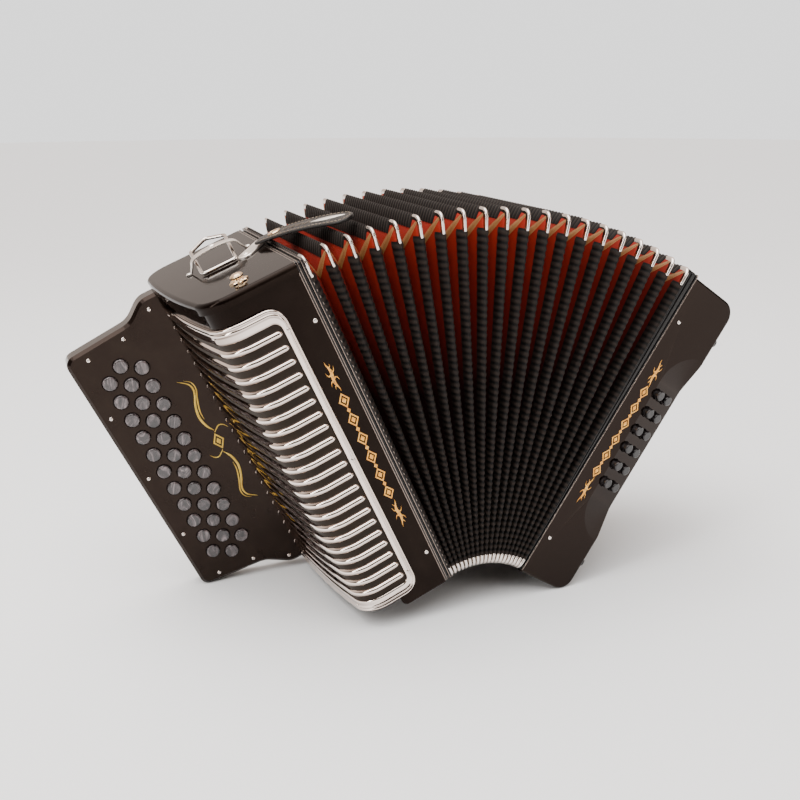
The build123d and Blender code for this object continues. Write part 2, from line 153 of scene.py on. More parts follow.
def smoothLine(points, perRun=8):
    # Catmull-Rom through the points; extra columns such as width go along.
    points = np.array(points, float)
    ends = np.vstack([2 * points[0] - points[1], points, 2 * points[-1] - points[-2]])
    line = []
    for i in range(1, len(ends) - 2):
        a, b, c, d = ends[i - 1:i + 3]
        for t in np.linspace(0, 1, perRun, endpoint=False):
            line.append(0.5 * (2 * b + (c - a) * t + (2 * a - 5 * b + 4 * c - d) * t * t
                               + (3 * b - a - 3 * c + d) * t ** 3))
    line.append(ends[-2])
    return np.array(line)


def spokeAt(side, other, a):
    return side * math.cos(a) + other * math.sin(a)


def turnedRings(profile, centre, axis, side, segments=24, lobes=0, lobeDepth=0.0):
    # Rings of a round piece about an axis, from (radius, height) points. Lobes scallop its outline.
    axis, side = Vector(axis).normalized(), Vector(side).normalized()
    other = axis.cross(side)
    rings = []
    for radius, height in profile:
        ring = []
        for i in range(segments):
            a = 2 * math.pi * i / segments
            r = radius * (1 - lobeDepth * (0.5 - 0.5 * math.cos(lobes * a)))
            ring.append(tuple(Vector(centre) + axis * height + spokeAt(side, other, a) * r))
        rings.append(ring)
    return rings


def addTurned(shape, profile, centre, axis, side=(1, 0, 0), **options):
    shape.grid(turnedRings(profile, centre, axis, side, **options), closeColumns=True, capEnds=True)


screwHead = dict(
    profile=((0, 1.0), (0.45, 1.0), (0.75, 0.86), (0.92, 0.62),      # shares of the height and radius
             (1.0, 0.42), (1.0, 0.22), (0.98, 0.06)),
    segments=24, slotReach=0.6, slotHalf=0.55, slotDeep=0.45,
)


def addScrew(shape, centre, facing, side, radius, height, slotted=True):
    # Low domed head, with a cross-slot pressed into it.
    facing, side = Vector(facing).normalized(), Vector(side).normalized()
    other = facing.cross(side)
    rows = []
    for level, reach in screwHead["profile"]:
        ring = []
        for i in range(screwHead["segments"]):
            a = 2 * math.pi * i / screwHead["segments"]
            slot = slotted and reach < screwHead["slotReach"] and abs(math.sin(2 * a)) < screwHead["slotHalf"]
            lift = height * (level - (screwHead["slotDeep"] if slot else 0))
            ring.append(tuple(Vector(centre) + facing * lift + spokeAt(side, other, a) * radius * reach))
        rows.append(ring)
    shape.grid(rows, closeColumns=True, capEnds=True)


def addStitches(shape, line, normals, length, gap, radius):
    # A row of stitches along a line of points, each one a little padded grain of thread.
    line = np.array(line, float)
    steps = np.linalg.norm(np.diff(line, axis=0), axis=1)
    run = np.concatenate([[0], np.cumsum(steps)])
    normals = np.array(normals, float)
    count = int(run[-1] / (length + gap))
    for i in range(count):
        middle = (i + 0.5) * run[-1] / count
        at = [np.interp(middle, run, line[:, k]) for k in range(3)]
        ahead = [np.interp(min(middle + 0.5, run[-1]), run, line[:, k]) for k in range(3)]
        behind = [np.interp(max(middle - 0.5, 0), run, line[:, k]) for k in range(3)]
        normal = Vector([np.interp(middle, run, normals[:, k]) for k in range(3)]).normalized()
        along = Vector(np.subtract(ahead, behind)).normalized()
        across = normal.cross(along)
        rows = []
        for t in (-1.0, -0.75, -0.3, 0.3, 0.75, 1.0):
            thick = radius * math.sqrt(max(1 - t * t, 0.02))
            middlePoint = Vector(at) + along * t * length / 2
            turns = np.linspace(0, 2 * math.pi, 6, endpoint=False)
            rows.append([tuple(middlePoint + across * math.cos(a) * thick
                               + normal * (math.sin(a) * thick + 0.1)) for a in turns])
        shape.grid(rows, closeColumns=True, capEnds=True)


# finishes
class Finish:
    # A material and the few nodes that every finish here uses.

    def __init__(self, name):
        self.material = bpy.data.materials.new(name)
        self.material.use_nodes = True
        self.tree = self.material.node_tree
        self.shader = self.tree.nodes["Principled BSDF"]

    def node(self, kind, inputs=None, **settings):
        made = self.tree.nodes.new(kind)
        for key, value in settings.items():
            setattr(made, key, value)
        for key, value in (inputs or {}).items():
            if isinstance(value, bpy.types.NodeSocket):
                self.tree.links.new(value, made.inputs[key])
            else:
                made.inputs[key].default_value = value
        return made

    def place(self, scale=(1, 1, 1)):
        source = self.node("ShaderNodeTexCoord").outputs["Object"]
        return self.node("ShaderNodeMapping", {"Vector": source, "Scale": scale}).outputs[0]

    def noise(self, where, scale, detail=3.0, rough=0.5):
        return self.node("ShaderNodeTexNoise", {
            "Vector": where, "Scale": scale, "Detail": detail, "Roughness": rough}).outputs["Fac"]

    def ramp(self, fac, low, high, lowTo=0.0, highTo=1.0):
        return self.node("ShaderNodeMapRange", {
            "Value": fac, "From Min": low, "From Max": high, "To Min": lowTo, "To Max": highTo}).outputs[0]

    def colours(self, fac, *stops):
        ramp = self.node("ShaderNodeValToRGB", {"Fac": fac})
        band = ramp.color_ramp
        while len(band.elements) < len(stops):
            band.elements.new(0.5)
        for element, (place, colour) in zip(band.elements, stops):
            element.position = place
            element.color = (*colour, 1)
        return ramp.outputs["Color"]

    def mix(self, fac, a, b, blend="MIX"):
        made = self.node("ShaderNodeMix", data_type="RGBA", blend_type=blend)
        for socket, value in ((made.inputs[0], fac), (made.inputs[6], a), (made.inputs[7], b)):
            if isinstance(value, bpy.types.NodeSocket):
                self.tree.links.new(value, socket)
            else:
                socket.default_value = value if socket == made.inputs[0] else (*value, 1)
        return made.outputs[2]

    def maths(self, operation, a, b=None):
        made = self.node("ShaderNodeMath", operation=operation)
        for socket, value in zip(made.inputs, (a, b)):
            if isinstance(value, bpy.types.NodeSocket):
                self.tree.links.new(value, socket)
            elif value is not None:
                socket.default_value = value
        return made.outputs[0]

    def bump(self, *layers):
        # Layers are (height, strength, distance in mm).
        normal = None
        for height, strength, distance in layers:
            inputs = {"Height": height, "Strength": strength, "Distance": distance * mm}
            if normal:
                inputs["Normal"] = normal
            normal = self.node("ShaderNodeBump", inputs).outputs[0]
        self.tree.links.new(normal, self.shader.inputs["Normal"])

    def set(self, **values):
        names = dict(color="Base Color", metal="Metallic", rough="Roughness", coat="Coat Weight",
                     coatRough="Coat Roughness", sheen="Sheen Weight", sheenRough="Sheen Roughness",
                     specular="Specular IOR Level", specularTint="Specular Tint")
        for key, value in values.items():
            socket = self.shader.inputs[names[key]]
            if isinstance(value, bpy.types.NodeSocket):
                self.tree.links.new(value, socket)
            else:
                socket.default_value = (*value, 1) if isinstance(value, tuple) else value
        return self.material


def lacquerFinish(name, specular, coat):
    f = Finish(name)
    where = f.place()
    smear = f.noise(where, 7.0, 2.0, 0.5)
    speck = f.ramp(f.noise(where, 900.0, 2.0), 0.68, 0.74)
    tone = f.colours(smear, (0.25, (0.0020, 0.0011, 0.0009)), (0.8, (0.0034, 0.0019, 0.0014)))
    edge = f.ramp(f.node("ShaderNodeNewGeometry").outputs["Pointiness"], 0.53, 0.60, 0.0, 0.5)
    worn = f.mix(f.maths("MULTIPLY", edge, f.noise(where, 60.0)), tone, (0.030, 0.021, 0.016))
    colour = f.mix(f.maths("MULTIPLY", speck, 0.12), worn, (0.05, 0.042, 0.036))
    rough = f.ramp(f.noise(where, 22.0, 5.0, 0.65), 0.3, 0.8, 0.05, 0.14)
    f.bump((f.noise(where, 420.0, 2.0), 0.05, 0.15), (f.noise(where, 30.0, 1.0), 0.03, 0.6))
    return f.set(color=colour, rough=rough, coat=coat, coatRough=0.03, specular=specular,
                 specularTint=(1.0, 0.68, 0.54))


def chromeFinish(name, colour, dull, rough=(0.05, 0.17), brushed=(1, 1, 1), under=None):
    f = Finish(name)
    where = f.place(scale=brushed)
    cloud = f.noise(where, 35.0, 5.0, 0.6)
    tarnish = f.ramp(f.noise(where, 140.0, 4.0, 0.7), 0.58, 0.75, 0.0, 0.55)
    tone = f.mix(tarnish, colour, dull)
    if under:   # painted shade: what faces the ground is darkened, standing in for a dark reflection below
        facing = f.node("ShaderNodeNewGeometry").outputs["Normal"]
        level = f.node("ShaderNodeSeparateXYZ", {"Vector": facing}).outputs[2]
        tone = f.mix(f.ramp(level, -0.62, -0.08, 0.9, 0.0), tone, under)
    roughness = f.ramp(cloud, 0.3, 0.75, *rough)
    f.bump((f.noise(where, 650.0, 3.0), 0.06, 0.08), (f.noise(where, 45.0, 2.0), 0.05, 0.35))
    return f.set(color=tone, metal=1.0, rough=roughness)


def weave(f, pitch):
    # Over-and-under threads from two crossed waves, on the cloth's own flat measure.
    where = f.node("ShaderNodeUVMap", uv_map="cloth").outputs[0]
    parts = f.node("ShaderNodeSeparateXYZ", {"Vector": where})
    turns = 2 * math.pi / (pitch * mm)
    warp = f.maths("SINE", f.maths("MULTIPLY", parts.outputs[0], turns))
    weft = f.maths("SINE", f.maths("MULTIPLY", parts.outputs[1], turns))
    return f.ramp(f.maths("MULTIPLY", warp, weft), -1.0, 1.0), where


def clothFinish(name, light, dark, thread, pitch=0.7, sheen=0.1, deep=0.35, paintedShade=None, rib=None):
    f = Finish(name)
    threads, where = weave(f, pitch)
    blotch = f.noise(f.place(), 28.0, 5.0, 0.6)
    tone = f.mix(f.ramp(blotch, 0.3, 0.75), dark, light)
    colour = f.mix(f.maths("MULTIPLY", threads, deep), tone, thread)
    flat = f.node("ShaderNodeSeparateXYZ", {"Vector": where})
    if paintedShade:   # painted shade: darker in the depth of the folds and towards the lower edge
        level = f.node("ShaderNodeSeparateXYZ", {"Vector": f.place()}).outputs[2]
        low = f.ramp(level, 0.20, 0.347, 1.0, 0.0)
        foldShade = f.ramp(flat.outputs[1], 0.004, 0.021, 0.0, 0.85)
        both = f.maths("MAXIMUM", low, f.maths("MULTIPLY", foldShade, f.ramp(level, 0.15, 0.34, 1.0, 0.2)))
        colour = f.mix(both, colour, paintedShade)
    if rib:    # painted shade: the hollow between two ribs is painted darker than their crests
        wave = f.maths("SINE", f.maths("MULTIPLY", flat.outputs[0], math.pi / (rib * mm)))
        unshadedCrest = f.ramp(f.maths("ABSOLUTE", wave), 0.35, 0.98)
        colour = f.mix(unshadedCrest, tuple(c * 0.1 for c in dark), colour)
    f.bump((threads, 0.5, 0.16), (f.noise(f.place(), 240.0, 4.0), 0.25, 0.2), (blotch, 0.2, 0.9))
    return f.set(color=colour, rough=f.ramp(blotch, 0.2, 0.8, 0.62, 0.8), sheen=sheen, sheenRough=0.4,
                 specular=0.22)


def leatherFinish(name, light, dark, rough=(0.36, 0.55), grain=1500.0):
    f = Finish(name)
    where = f.place()
    cells = f.node("ShaderNodeTexVoronoi", {"Vector": where, "Scale": grain}, feature="DISTANCE_TO_EDGE")
    crease = f.ramp(cells.outputs[0], 0.0, 0.25)
    cloud = f.noise(where, 45.0, 5.0, 0.6)
    # painted highlight: convex edges are painted lighter, standing in for thin highlight lines along them
    edge = f.ramp(f.node("ShaderNodeNewGeometry").outputs["Pointiness"], 0.52, 0.6, 0.0, 0.5)
    tone = f.mix(f.maths("ADD", f.ramp(cloud, 0.3, 0.8, 0.0, 0.8), edge), dark, light)
    colour = f.mix(crease, tuple(c * 0.55 for c in dark), tone)
    f.bump((crease, 0.35, 0.14), (cloud, 0.2, 0.7))
    return f.set(color=colour, rough=f.ramp(cloud, 0.25, 0.75, *rough), specular=0.32)


def pearlFinish(name, gain, coat):
    f = Finish(name)
    where = f.place(scale=(1, 1, 0.45))
    bend = f.node("ShaderNodeTexNoise", {"Vector": where, "Scale": 55.0, "Detail": 1.0}).outputs["Color"]
    moved = f.node("ShaderNodeVectorMath", {0: where, 1: bend}, operation="MULTIPLY_ADD")
    moved.inputs[1].default_value = (1, 1, 1)
    scaled = f.node("ShaderNodeVectorMath", {0: bend}, operation="SCALE")
    scaled.inputs["Scale"].default_value = 0.012
    f.tree.links.new(scaled.outputs[0], moved.inputs[2])
    streak = f.noise(moved.outputs[0], 120.0, 2.0, 0.5)
    shades = ((0.30, (0.015, 0.011, 0.012)), (0.46, (0.048, 0.037, 0.039)),
              (0.58, (0.12, 0.094, 0.098)), (0.72, (0.28, 0.225, 0.23)))
    tone = f.colours(streak, *[(at, tuple(c * gain for c in colour)) for at, colour in shades])
    f.bump((streak, 0.04, 0.2))
    return f.set(color=tone, rough=f.ramp(streak, 0.2, 0.8, 0.16, 0.28), coat=coat, coatRough=0.06,
                 metal=0.15)


def goldFinish(name, *tones):
    f = Finish(name)
    where = f.place()
    worn = f.noise(where, 260.0, 4.0, 0.6)
    tone = f.colours(worn, *zip((0.3, 0.55, 0.8), tones))
    f.bump((worn, 0.15, 0.1))
    return f.set(color=tone, metal=0.35, rough=f.ramp(worn, 0.3, 0.8, 0.28, 0.46))


def rubberFinish():
    f = Finish("footRubber")
    where = f.place()
    cloud = f.noise(where, 300.0, 4.0)
    f.bump((cloud, 0.3, 0.15))
    return f.set(color=f.mix(cloud, (0.012, 0.011, 0.011), (0.035, 0.032, 0.03)),
                 rough=f.ramp(cloud, 0.2, 0.8, 0.5, 0.7))


lacquer = lacquerFinish("blackLacquer", specular=0.18, coat=0.08)
deepLacquer = lacquerFinish("deepLacquer", specular=0.08, coat=0.04)     # the treble casing
# the slats' under colour is painted shade on their downward-facing flanks
slatChrome = chromeFinish("slatChrome", (0.84, 0.73, 0.66), (0.58, 0.46, 0.39), (0.035, 0.10),
                          under=(0.13, 0.085, 0.06))
beadMetal = chromeFinish("beadMetal", (0.26, 0.21, 0.18), (0.08, 0.06, 0.05), (0.14, 0.28))
satinNickel = chromeFinish("satinNickel", (0.90, 0.84, 0.78), (0.62, 0.55, 0.50), (0.30, 0.44),
                           brushed=(1, 6, 1))
fittingChrome = chromeFinish("fittingChrome", (0.76, 0.69, 0.64), (0.46, 0.39, 0.34), (0.06, 0.18))
studGold = chromeFinish("studGold", (0.95, 0.70, 0.45), (0.55, 0.36, 0.20), (0.08, 0.22))
# the red cloth's near-black last colour is painted shade in the depth of the folds and towards the lower edge
redCloth = clothFinish("redBellowsCloth", light=(0.34, 0.017, 0.0055), dark=(0.25, 0.010, 0.004),
                       thread=(0.44, 0.034, 0.012),
                       sheen=0.0, paintedShade=(0.016, 0.0009, 0.0013))
# the ribbed tape's darker hollows between ribs are painted shade
ridgeTape = clothFinish("ribbedTape", light=(0.011, 0.0068, 0.0052), dark=(0.005, 0.003, 0.0025),
                        thread=(0.042, 0.028, 0.021),
                        pitch=1.35, sheen=0.0, deep=0.5, rib=5.4)
grilleCloth = clothFinish("grilleCloth", light=(0.020, 0.0125, 0.0075), dark=(0.008, 0.005, 0.003),
                          thread=(0.045, 0.03, 0.018), pitch=1.2)
frameBlack = leatherFinish("frameCovering", (0.007, 0.005, 0.0045), (0.003, 0.0022, 0.002), (0.16, 0.30),
                           grain=1900.0)
tanLeather = leatherFinish("tanGusset", (0.50, 0.27, 0.105), (0.30, 0.14, 0.05), (0.34, 0.5), grain=1700.0)
strapLeather = leatherFinish("blackStrapLeather", (0.014, 0.011, 0.010), (0.005, 0.004, 0.004),
                             (0.24, 0.40))
strapThread = leatherFinish("strapThread", (0.46, 0.38, 0.30), (0.28, 0.22, 0.17), (0.6, 0.75), grain=3000.0)
pearl = pearlFinish("darkPearl", gain=0.72, coat=0.8)
bassPearl = pearlFinish("bassPearl", gain=0.10, coat=0.25)
gold = goldFinish("goldTransfer", (0.72, 0.27, 0.035), (0.86, 0.42, 0.075), (0.95, 0.62, 0.20))
boardGold = goldFinish("boardGold", (0.50, 0.29, 0.03), (0.66, 0.44, 0.06), (0.80, 0.62, 0.15))
rubber = rubberFinish()
print("finishes ready")


# camera, floor and light
view = dict(
    place=(-0.3088, -0.8269, 0.4336),    # metres from the middle of the footprint
    pitch=67.55, yaw=-25.51,             # degrees
    lens=45.32, sensor=36, shiftX=-0.1211, shiftY=0.1286, nearest=0.01,
)
footX, footY = (cadLow[0] + cadHigh[0]) / 2, (cadLow[1] + cadHigh[1]) / 2
cameraData = bpy.data.cameras.new("camera")
cameraData.lens, cameraData.sensor_width = view["lens"], view["sensor"]
cameraData.shift_x, cameraData.shift_y = view["shiftX"], view["shiftY"]
cameraData.clip_start = view["nearest"]
camera = bpy.data.objects.new("camera", cameraData)
camera.location = (footX + view["place"][0], footY + view["place"][1], view["place"][2])
camera.rotation_euler = (math.radians(view["pitch"]), 0, math.radians(view["yaw"]))
bpy.context.scene.collection.objects.link(camera)
bpy.context.scene.camera = camera

studio = dict(                      # metres, watts and degrees, but floorUnder is millimetres
    floorRadius=9.0, floorRings=14, floorSpokes=96, floorUnder=0.05,
    floorColour=(0.92, 0.945, 0.965), floorGrain=(0.89, 0.915, 0.935), floorRough=0.75,
    skyFront=0.06, skyBack=1.0, skyTop=0.9, skyColour=(1.0, 0.86, 0.77), backdrop=(1.68, 1.68, 1.68),
    skyBackFrom=(-0.15, 0.7), skyTopFrom=(0.35, 0.95),
    sunPower=3.0, sunAngle=70.0, sunLean=(12, -10),
    lamps=[   # name, place, aim, size, power, colour
        ("overhead", (-0.35, 0.1, 1.7), (0, 0, 0.2), (1.6, 1.2), 20, (1, 0.97, 0.94)),
        ("leftBox", (-1.8, -0.7, 1.0), (-0.1, 0, 0.2), (0.35, 1.6), 20, (1, 0.96, 0.92)),
        ("frontRightBox", (1.3, -1.9, 0.9), (0.1, 0, 0.15), (0.5, 1.3), 12, (1, 0.93, 0.88)),
    ],
)


def addFloor():
    rings, spokes = studio["floorRings"], studio["floorSpokes"]
    level = cadLow[2] / mm - studio["floorUnder"]
    rows = []
    for r in range(1, rings + 1):
        reach = studio["floorRadius"] / mm * (r / rings) ** 2
        turns = [2 * math.pi * s / spokes for s in range(spokes)]
        rows.append([(reach * math.cos(a), reach * math.sin(a), level) for a in turns])
    work = Shape()
    work.grid(rows, closeColumns=True)
    work.faces.append(tuple(range(spokes - 1, -1, -1)))
    f = Finish("paleFloor")
    grain = f.noise(f.place(), 60.0, 4.0)
    f.bump((grain, 0.05, 0.3))
    tone = f.mix(f.ramp(grain, 0.2, 0.8, 0.0, 0.2), studio["floorColour"], studio["floorGrain"])
    floorMaterial = f.set(color=tone, rough=studio["floorRough"])
    makePiece("floor", work, plain, floorMaterial, facing=False)


def addSky():
    world = bpy.data.worlds.new("studio")
    bpy.context.scene.world = world
    world.use_nodes = True
    tree = world.node_tree
    tree.nodes.clear()
    link = tree.links.new
    coord = tree.nodes.new("ShaderNodeTexCoord")
    parts = tree.nodes.new("ShaderNodeSeparateXYZ")
    link(coord.outputs["Generated"], parts.inputs[0])

    def spread(axis, low, high, dark, bright):
        made = tree.nodes.new("ShaderNodeMapRange")
        made.interpolation_type = "SMOOTHSTEP"
        for key, value in (("From Min", low), ("From Max", high), ("To Min", dark), ("To Max", bright)):
            made.inputs[key].default_value = value
        link(parts.outputs[axis], made.inputs["Value"])
        return made.outputs[0]

    glow = tree.nodes.new("ShaderNodeMath")
    glow.operation = "ADD"
    link(spread(1, *studio["skyBackFrom"], studio["skyFront"], studio["skyBack"]), glow.inputs[0])
    link(spread(2, *studio["skyTopFrom"], 0.0, studio["skyTop"]), glow.inputs[1])
    light = tree.nodes.new("ShaderNodeBackground")
    light.inputs["Color"].default_value = (*studio["skyColour"], 1)
    link(glow.outputs[0], light.inputs["Strength"])
    seen = tree.nodes.new("ShaderNodeBackground")
    seen.inputs["Color"].default_value = (*studio["backdrop"], 1)
    path = tree.nodes.new("ShaderNodeLightPath")
    both = tree.nodes.new("ShaderNodeMixShader")
    link(path.outputs["Is Camera Ray"], both.inputs[0])
    link(light.outputs[0], both.inputs[1])
    link(seen.outputs[0], both.inputs[2])
    out = tree.nodes.new("ShaderNodeOutputWorld")
    link(both.outputs[0], out.inputs["Surface"])


def addLamp(name, place, aim, size, power, colour):
    data = bpy.data.lights.new(name, "AREA")
    data.shape, data.size, data.size_y = "RECTANGLE", size[0], size[1]
    data.energy, data.color = power, colour
    lamp = bpy.data.objects.new(name, data)
    lamp.location = place
    lamp.rotation_euler = (Vector(aim) - Vector(place)).to_track_quat("-Z", "Y").to_euler()
    bpy.context.scene.collection.objects.link(lamp)


def addSun():
    # Wide soft sun that lights the floor evenly right up to the backdrop.
    sun = bpy.data.lights.new("softSun", "SUN")
    sun.energy, sun.angle = studio["sunPower"], math.radians(studio["sunAngle"])
    lamp = bpy.data.objects.new("softSun", sun)
    lamp.rotation_euler = (*(math.radians(a) for a in studio["sunLean"]), 0)
    bpy.context.scene.collection.objects.link(lamp)


addFloor()
addSky()
addSun()
for lampFacts in studio["lamps"]:
    addLamp(*lampFacts)
print("camera, floor and light ready")


# bellows
bellows = dict(
    sideSamples=20, topSamples=12, arcSamples=7, rowsPerPanel=5,
    puff=0.07,              # how far a panel bows towards its valley, share of half a step
    tapeDeep=8.8, tapeThick=0.40, ribPitch=5.4, ribHigh=1.05, ribSamples=6,
    tapeUnderCap=1.5, tapeTaper=1.2,     # how far the tape runs under the corner caps, and thins there
    cornerLegTop=16.0, cornerLegLow=10.5, cornerRun=13.0, cornerHalf=1.55, cornerEnd=0.72,
    gussetFrom=0.10, gussetTip=0.7, gussetWide=3.7, gussetProud=0.4,
    endRimRound=2.4,
    endRim=[   # share of half a step past the last ridge, inset
        (0.0, 0.9), (0.06, 0.2), (0.12, 0.0), (0.38, 0.0), (0.42, 0.3), (0.44, 1.1),
        (0.52, 1.1), (0.54, 0.3), (0.58, 0.0), (0.84, 0.0), (0.9, 0.2), (0.93, 1.0)],
)
capSection = [   # depth below the ridge and share of the half width, from one edge of a cap to the other
    (3.8, -0.75), (4.0, -0.98), (1.6, -1.0), (0.5, -0.97), (-0.45, -0.72), (-0.95, -0.3), (-1.0, 0.0),
    (-0.95, 0.3), (-0.45, 0.72), (0.5, 0.97), (1.6, 1.0), (4.0, 0.98), (3.8, 0.75)]


def onRay(angle, across, y, h):
    # Point at one ray, in millimetres, in the shared frame.
    turn = math.radians(angle)
    s, c = math.sin(turn), math.cos(turn)
    r = fan["radius"] + h
    return (fan["centreX"] + s * r + c * across, y, fan["centreZ"] + c * r - s * across)


def loopPoints(inset, rounding):
    # Points around the bellows at one depth, with the run along them.
    low, high = inset, fan["height"] - inset
    side = fan["halfDepth"] - inset
    r = rounding
    points = []

    def straight(a, b, count):
        for i in range(count):
            t = (i + 0.5) / count
            points.append((a[0] + (b[0] - a[0]) * t, a[1] + (b[1] - a[1]) * t))

    def arc(centre, start):
        for i in range(bellows["arcSamples"]):
            a = math.radians(start - 90 * i / (bellows["arcSamples"] - 1))
            points.append((centre[0] + r * math.cos(a), centre[1] + r * math.sin(a)))

    straight((-side, low + r), (-side, high - r), bellows["sideSamples"])
    arc((-side + r, high - r), 180)
    straight((-side + r, high), (side - r, high), bellows["topSamples"])
    arc((side - r, high - r), 90)
    straight((side, high - r), (side, low + r), bellows["sideSamples"])
    arc((side - r, low + r), 0)
    straight((side - r, low), (-side + r, low), bellows["topSamples"])
    arc((-side + r, low + r), -90)
    return points


def roundingAt(depth):
    return max(fan["cornerRound"] * (1 - depth / fan["foldDepth"] * fan["roundLoss"]), fan["leastRound"])


def addPanel(shape, ridgeAngle, valleyAngle):
    # Cloth from a ridge to the valley beside it.
    rows, uv = [], []
    count = bellows["rowsPerPanel"]
    for i in range(count + 1):
        f = i / count
        depth = fan["foldDepth"] * f
        bow = bellows["puff"] * math.sin(math.pi * f)
        angle = ridgeAngle + (valleyAngle - ridgeAngle) * min(f + bow * (1 - f), 1)
        loop = loopPoints(depth, roundingAt(depth))
        rows.append([onRay(angle, 0, y, h) for y, h in loop])
        sides = np.linalg.norm(np.diff(np.array(loop), axis=0), axis=1)
        uv.append([(a * mm, depth * mm) for a in np.concatenate([[0], np.cumsum(sides)])])
    shape.grid(rows, closeColumns=True, uv=uv)


def halfGap(depth, h):
    # Half the width of a fold at one depth below its ridge.
    return (fan["radius"] + h) * math.radians(fan["step"] / 2) * depth / fan["foldDepth"]


def tapeSection(thick):
    # (depth, side, extra width) points over a ridge, from one edge to the other.
    deep = bellows["tapeDeep"]
    one = [(deep, 0.05), (deep - 0.2, 0.25 + thick * 0.5), (deep * 0.7, 0.3 + thick),
           (deep * 0.35, 0.35 + thick), (0.6, 0.35 + thick), (-0.25 - thick * 0.4, 0.25 + thick * 0.35)]
    return [(d, -1, e) for d, e in one] + [(-0.35 - thick * 0.8, 0, 0)] + [(d, 1, e) for d, e in one[::-1]]


def addRidgeRun(shape, angle, start, end, inward, section, samples, uvStep):
    # Sweeps a cross-section along a straight part of a ridge; section is asked for at each sample.
    rows, uv = [], []
    length = math.dist(start, end)
    for i in range(samples + 1):
        t = i / samples
        y0, h0 = start[0] + (end[0] - start[0]) * t, start[1] + (end[1] - start[1]) * t
        row, around = [], []
        for n, (depth, side, extra) in enumerate(section(t * length, length)):
            y, h = y0 + inward[0] * depth, h0 + inward[1] * depth
            row.append(onRay(angle, side * (halfGap(max(depth, 0), h) + extra), y, h))
            around.append((t * length * mm, n * uvStep * mm))
        rows.append(row)
        uv.append(around)
    shape.grid(rows, uv=uv, closeColumns=True, capEnds=True)


def ribbed(run, length):
    phase = (run / bellows["ribPitch"]) % 1
    rib = math.sin(math.pi * phase) ** 0.7
    ends = min(1.0, run / bellows["tapeTaper"], (length - run) / bellows["tapeTaper"])
    return tapeSection((bellows["tapeThick"] + bellows["ribHigh"] * rib) * (0.35 + 0.65 * max(ends, 0)))


def addTape(shape, angle):
    under = bellows["tapeUnderCap"]
    top, low, run = (bellows[key] - under for key in ("cornerLegTop", "cornerLegLow", "cornerRun"))
    side, high = fan["halfDepth"], fan["height"]
    for start, end, inward in (
            ((-side, low), (-side, high - top), (1, 0)), ((side, low), (side, high - top), (-1, 0)),
            ((-side + run, high), (side - run, high), (0, -1)), ((-side + run, 0), (side - run, 0), (0, 1))):
        samples = int(math.dist(start, end) / bellows["ribPitch"] * bellows["ribSamples"])
        addRidgeRun(shape, angle, start, end, inward, ribbed, samples, 1.4)


def cornerPath(ySign, top):
    # Line around one corner of a ridge with the inward direction at each point.
    r = fan["cornerRound"]
    side = fan["halfDepth"]
    base, sign = (fan["height"], -1) if top else (0, 1)
    leg = bellows["cornerLegTop"] if top else bellows["cornerLegLow"]
    line = [((side, base + sign * (leg - (leg - r) * t)), (-1, 0)) for t in (0, 0.08, 0.35, 0.7)]
    for a in np.radians(np.linspace(0, 90, 9)):
        c, s = math.cos(a), math.sin(a)
        line.append(((side - r + r * c, base + sign * (r - r * s)), (-c, sign * s)))
    line += [((side - r - (bellows["cornerRun"] - r) * t, base), (0, sign)) for t in (0.3, 0.65, 0.93, 1)]
    return [((y * ySign, h), (iy * ySign, ih)) for (y, h), (iy, ih) in line]


def addCorner(shape, angle, ySign, top):
    # Pressed metal cap over a corner of a ridge.
    line = cornerPath(ySign, top)
    rows = []
    w = bellows["cornerHalf"]
    for i, ((y0, h0), (iy, ih)) in enumerate(line):
        end = bellows["cornerEnd"] if i in (0, len(line) - 1) else 1.0
        rows.append([onRay(angle, side * w * end, y0 + iy * depth * end, h0 + ih * depth * end)
                     for depth, side in capSection])
    shape.grid(rows, closeColumns=True, capEnds=True)


def aroundCorner(depth, q, ySign, top, proud):
    # Point near a corner of the folded cloth; q is the run from the corner's middle, negative down the side.
    r = roundingAt(depth)
    side = fan["halfDepth"] - depth
    base, sign = (fan["height"] - depth, -1) if top else (depth, 1)
    quarter = r * math.pi / 4
    if abs(q) <= quarter:
        a = math.radians(45) + q / r
        y = side - r + (r + proud) * math.cos(a)
        h = base + sign * (r - (r + proud) * math.sin(a))
    elif q < 0:
        y, h = side + proud, base + sign * (r - (q + quarter))
    else:
        y, h = side - r - (q - quarter), base - sign * proud
    return y * ySign, h


def addGusset(shape, ridgeAngle, valleyAngle, ySign, top):
    # Leather over the crease that runs from a ridge corner to the valley corner.
    rows = []
    turnBy = 1 if valleyAngle > ridgeAngle else -1
    tip = bellows["gussetTip"]
    for f in np.linspace(bellows["gussetFrom"], 1.0, 9):
        depth = fan["foldDepth"] * f
        wide = tip + (bellows["gussetWide"] - tip) * math.sin(f * math.pi / 2) ** 1.4
        row = []
        for q in (-1.0, -0.97, -0.55, -0.2, 0.0, 0.2, 0.55, 0.97, 1.0):
            proud = 0.0 if abs(q) == 1.0 else bellows["gussetProud"] * (1.5 if q == 0 else 1)
            y, h = aroundCorner(depth, q * wide, ySign, top, proud)
            angle = ridgeAngle + (valleyAngle - ridgeAngle) * f
            row.append(onRay(angle, turnBy * proud * (1 - f) * 1.2, y, h))
        rows.append(row)
    shape.grid(rows)


def bendWithLink(piece, link):
    # Bakes a bellows piece's placement and returns each point's share of its link's angle.
    start = fan["firstRidge"] + link * fan["linkTurn"]
    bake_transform(piece)
    mesh = piece.data
    place = np.zeros(len(mesh.vertices) * 3)
    mesh.vertices.foreach_get("co", place)
    place = place.reshape(-1, 3) / mm
    angle = np.degrees(np.arctan2(place[:, 0] - fan["centreX"], place[:, 2] - fan["centreZ"]))
    return np.clip((angle - start) / fan["linkTurn"], 0, 1)


def ridgeAngle(k):
    return fan["firstRidge"] + k * fan["step"]


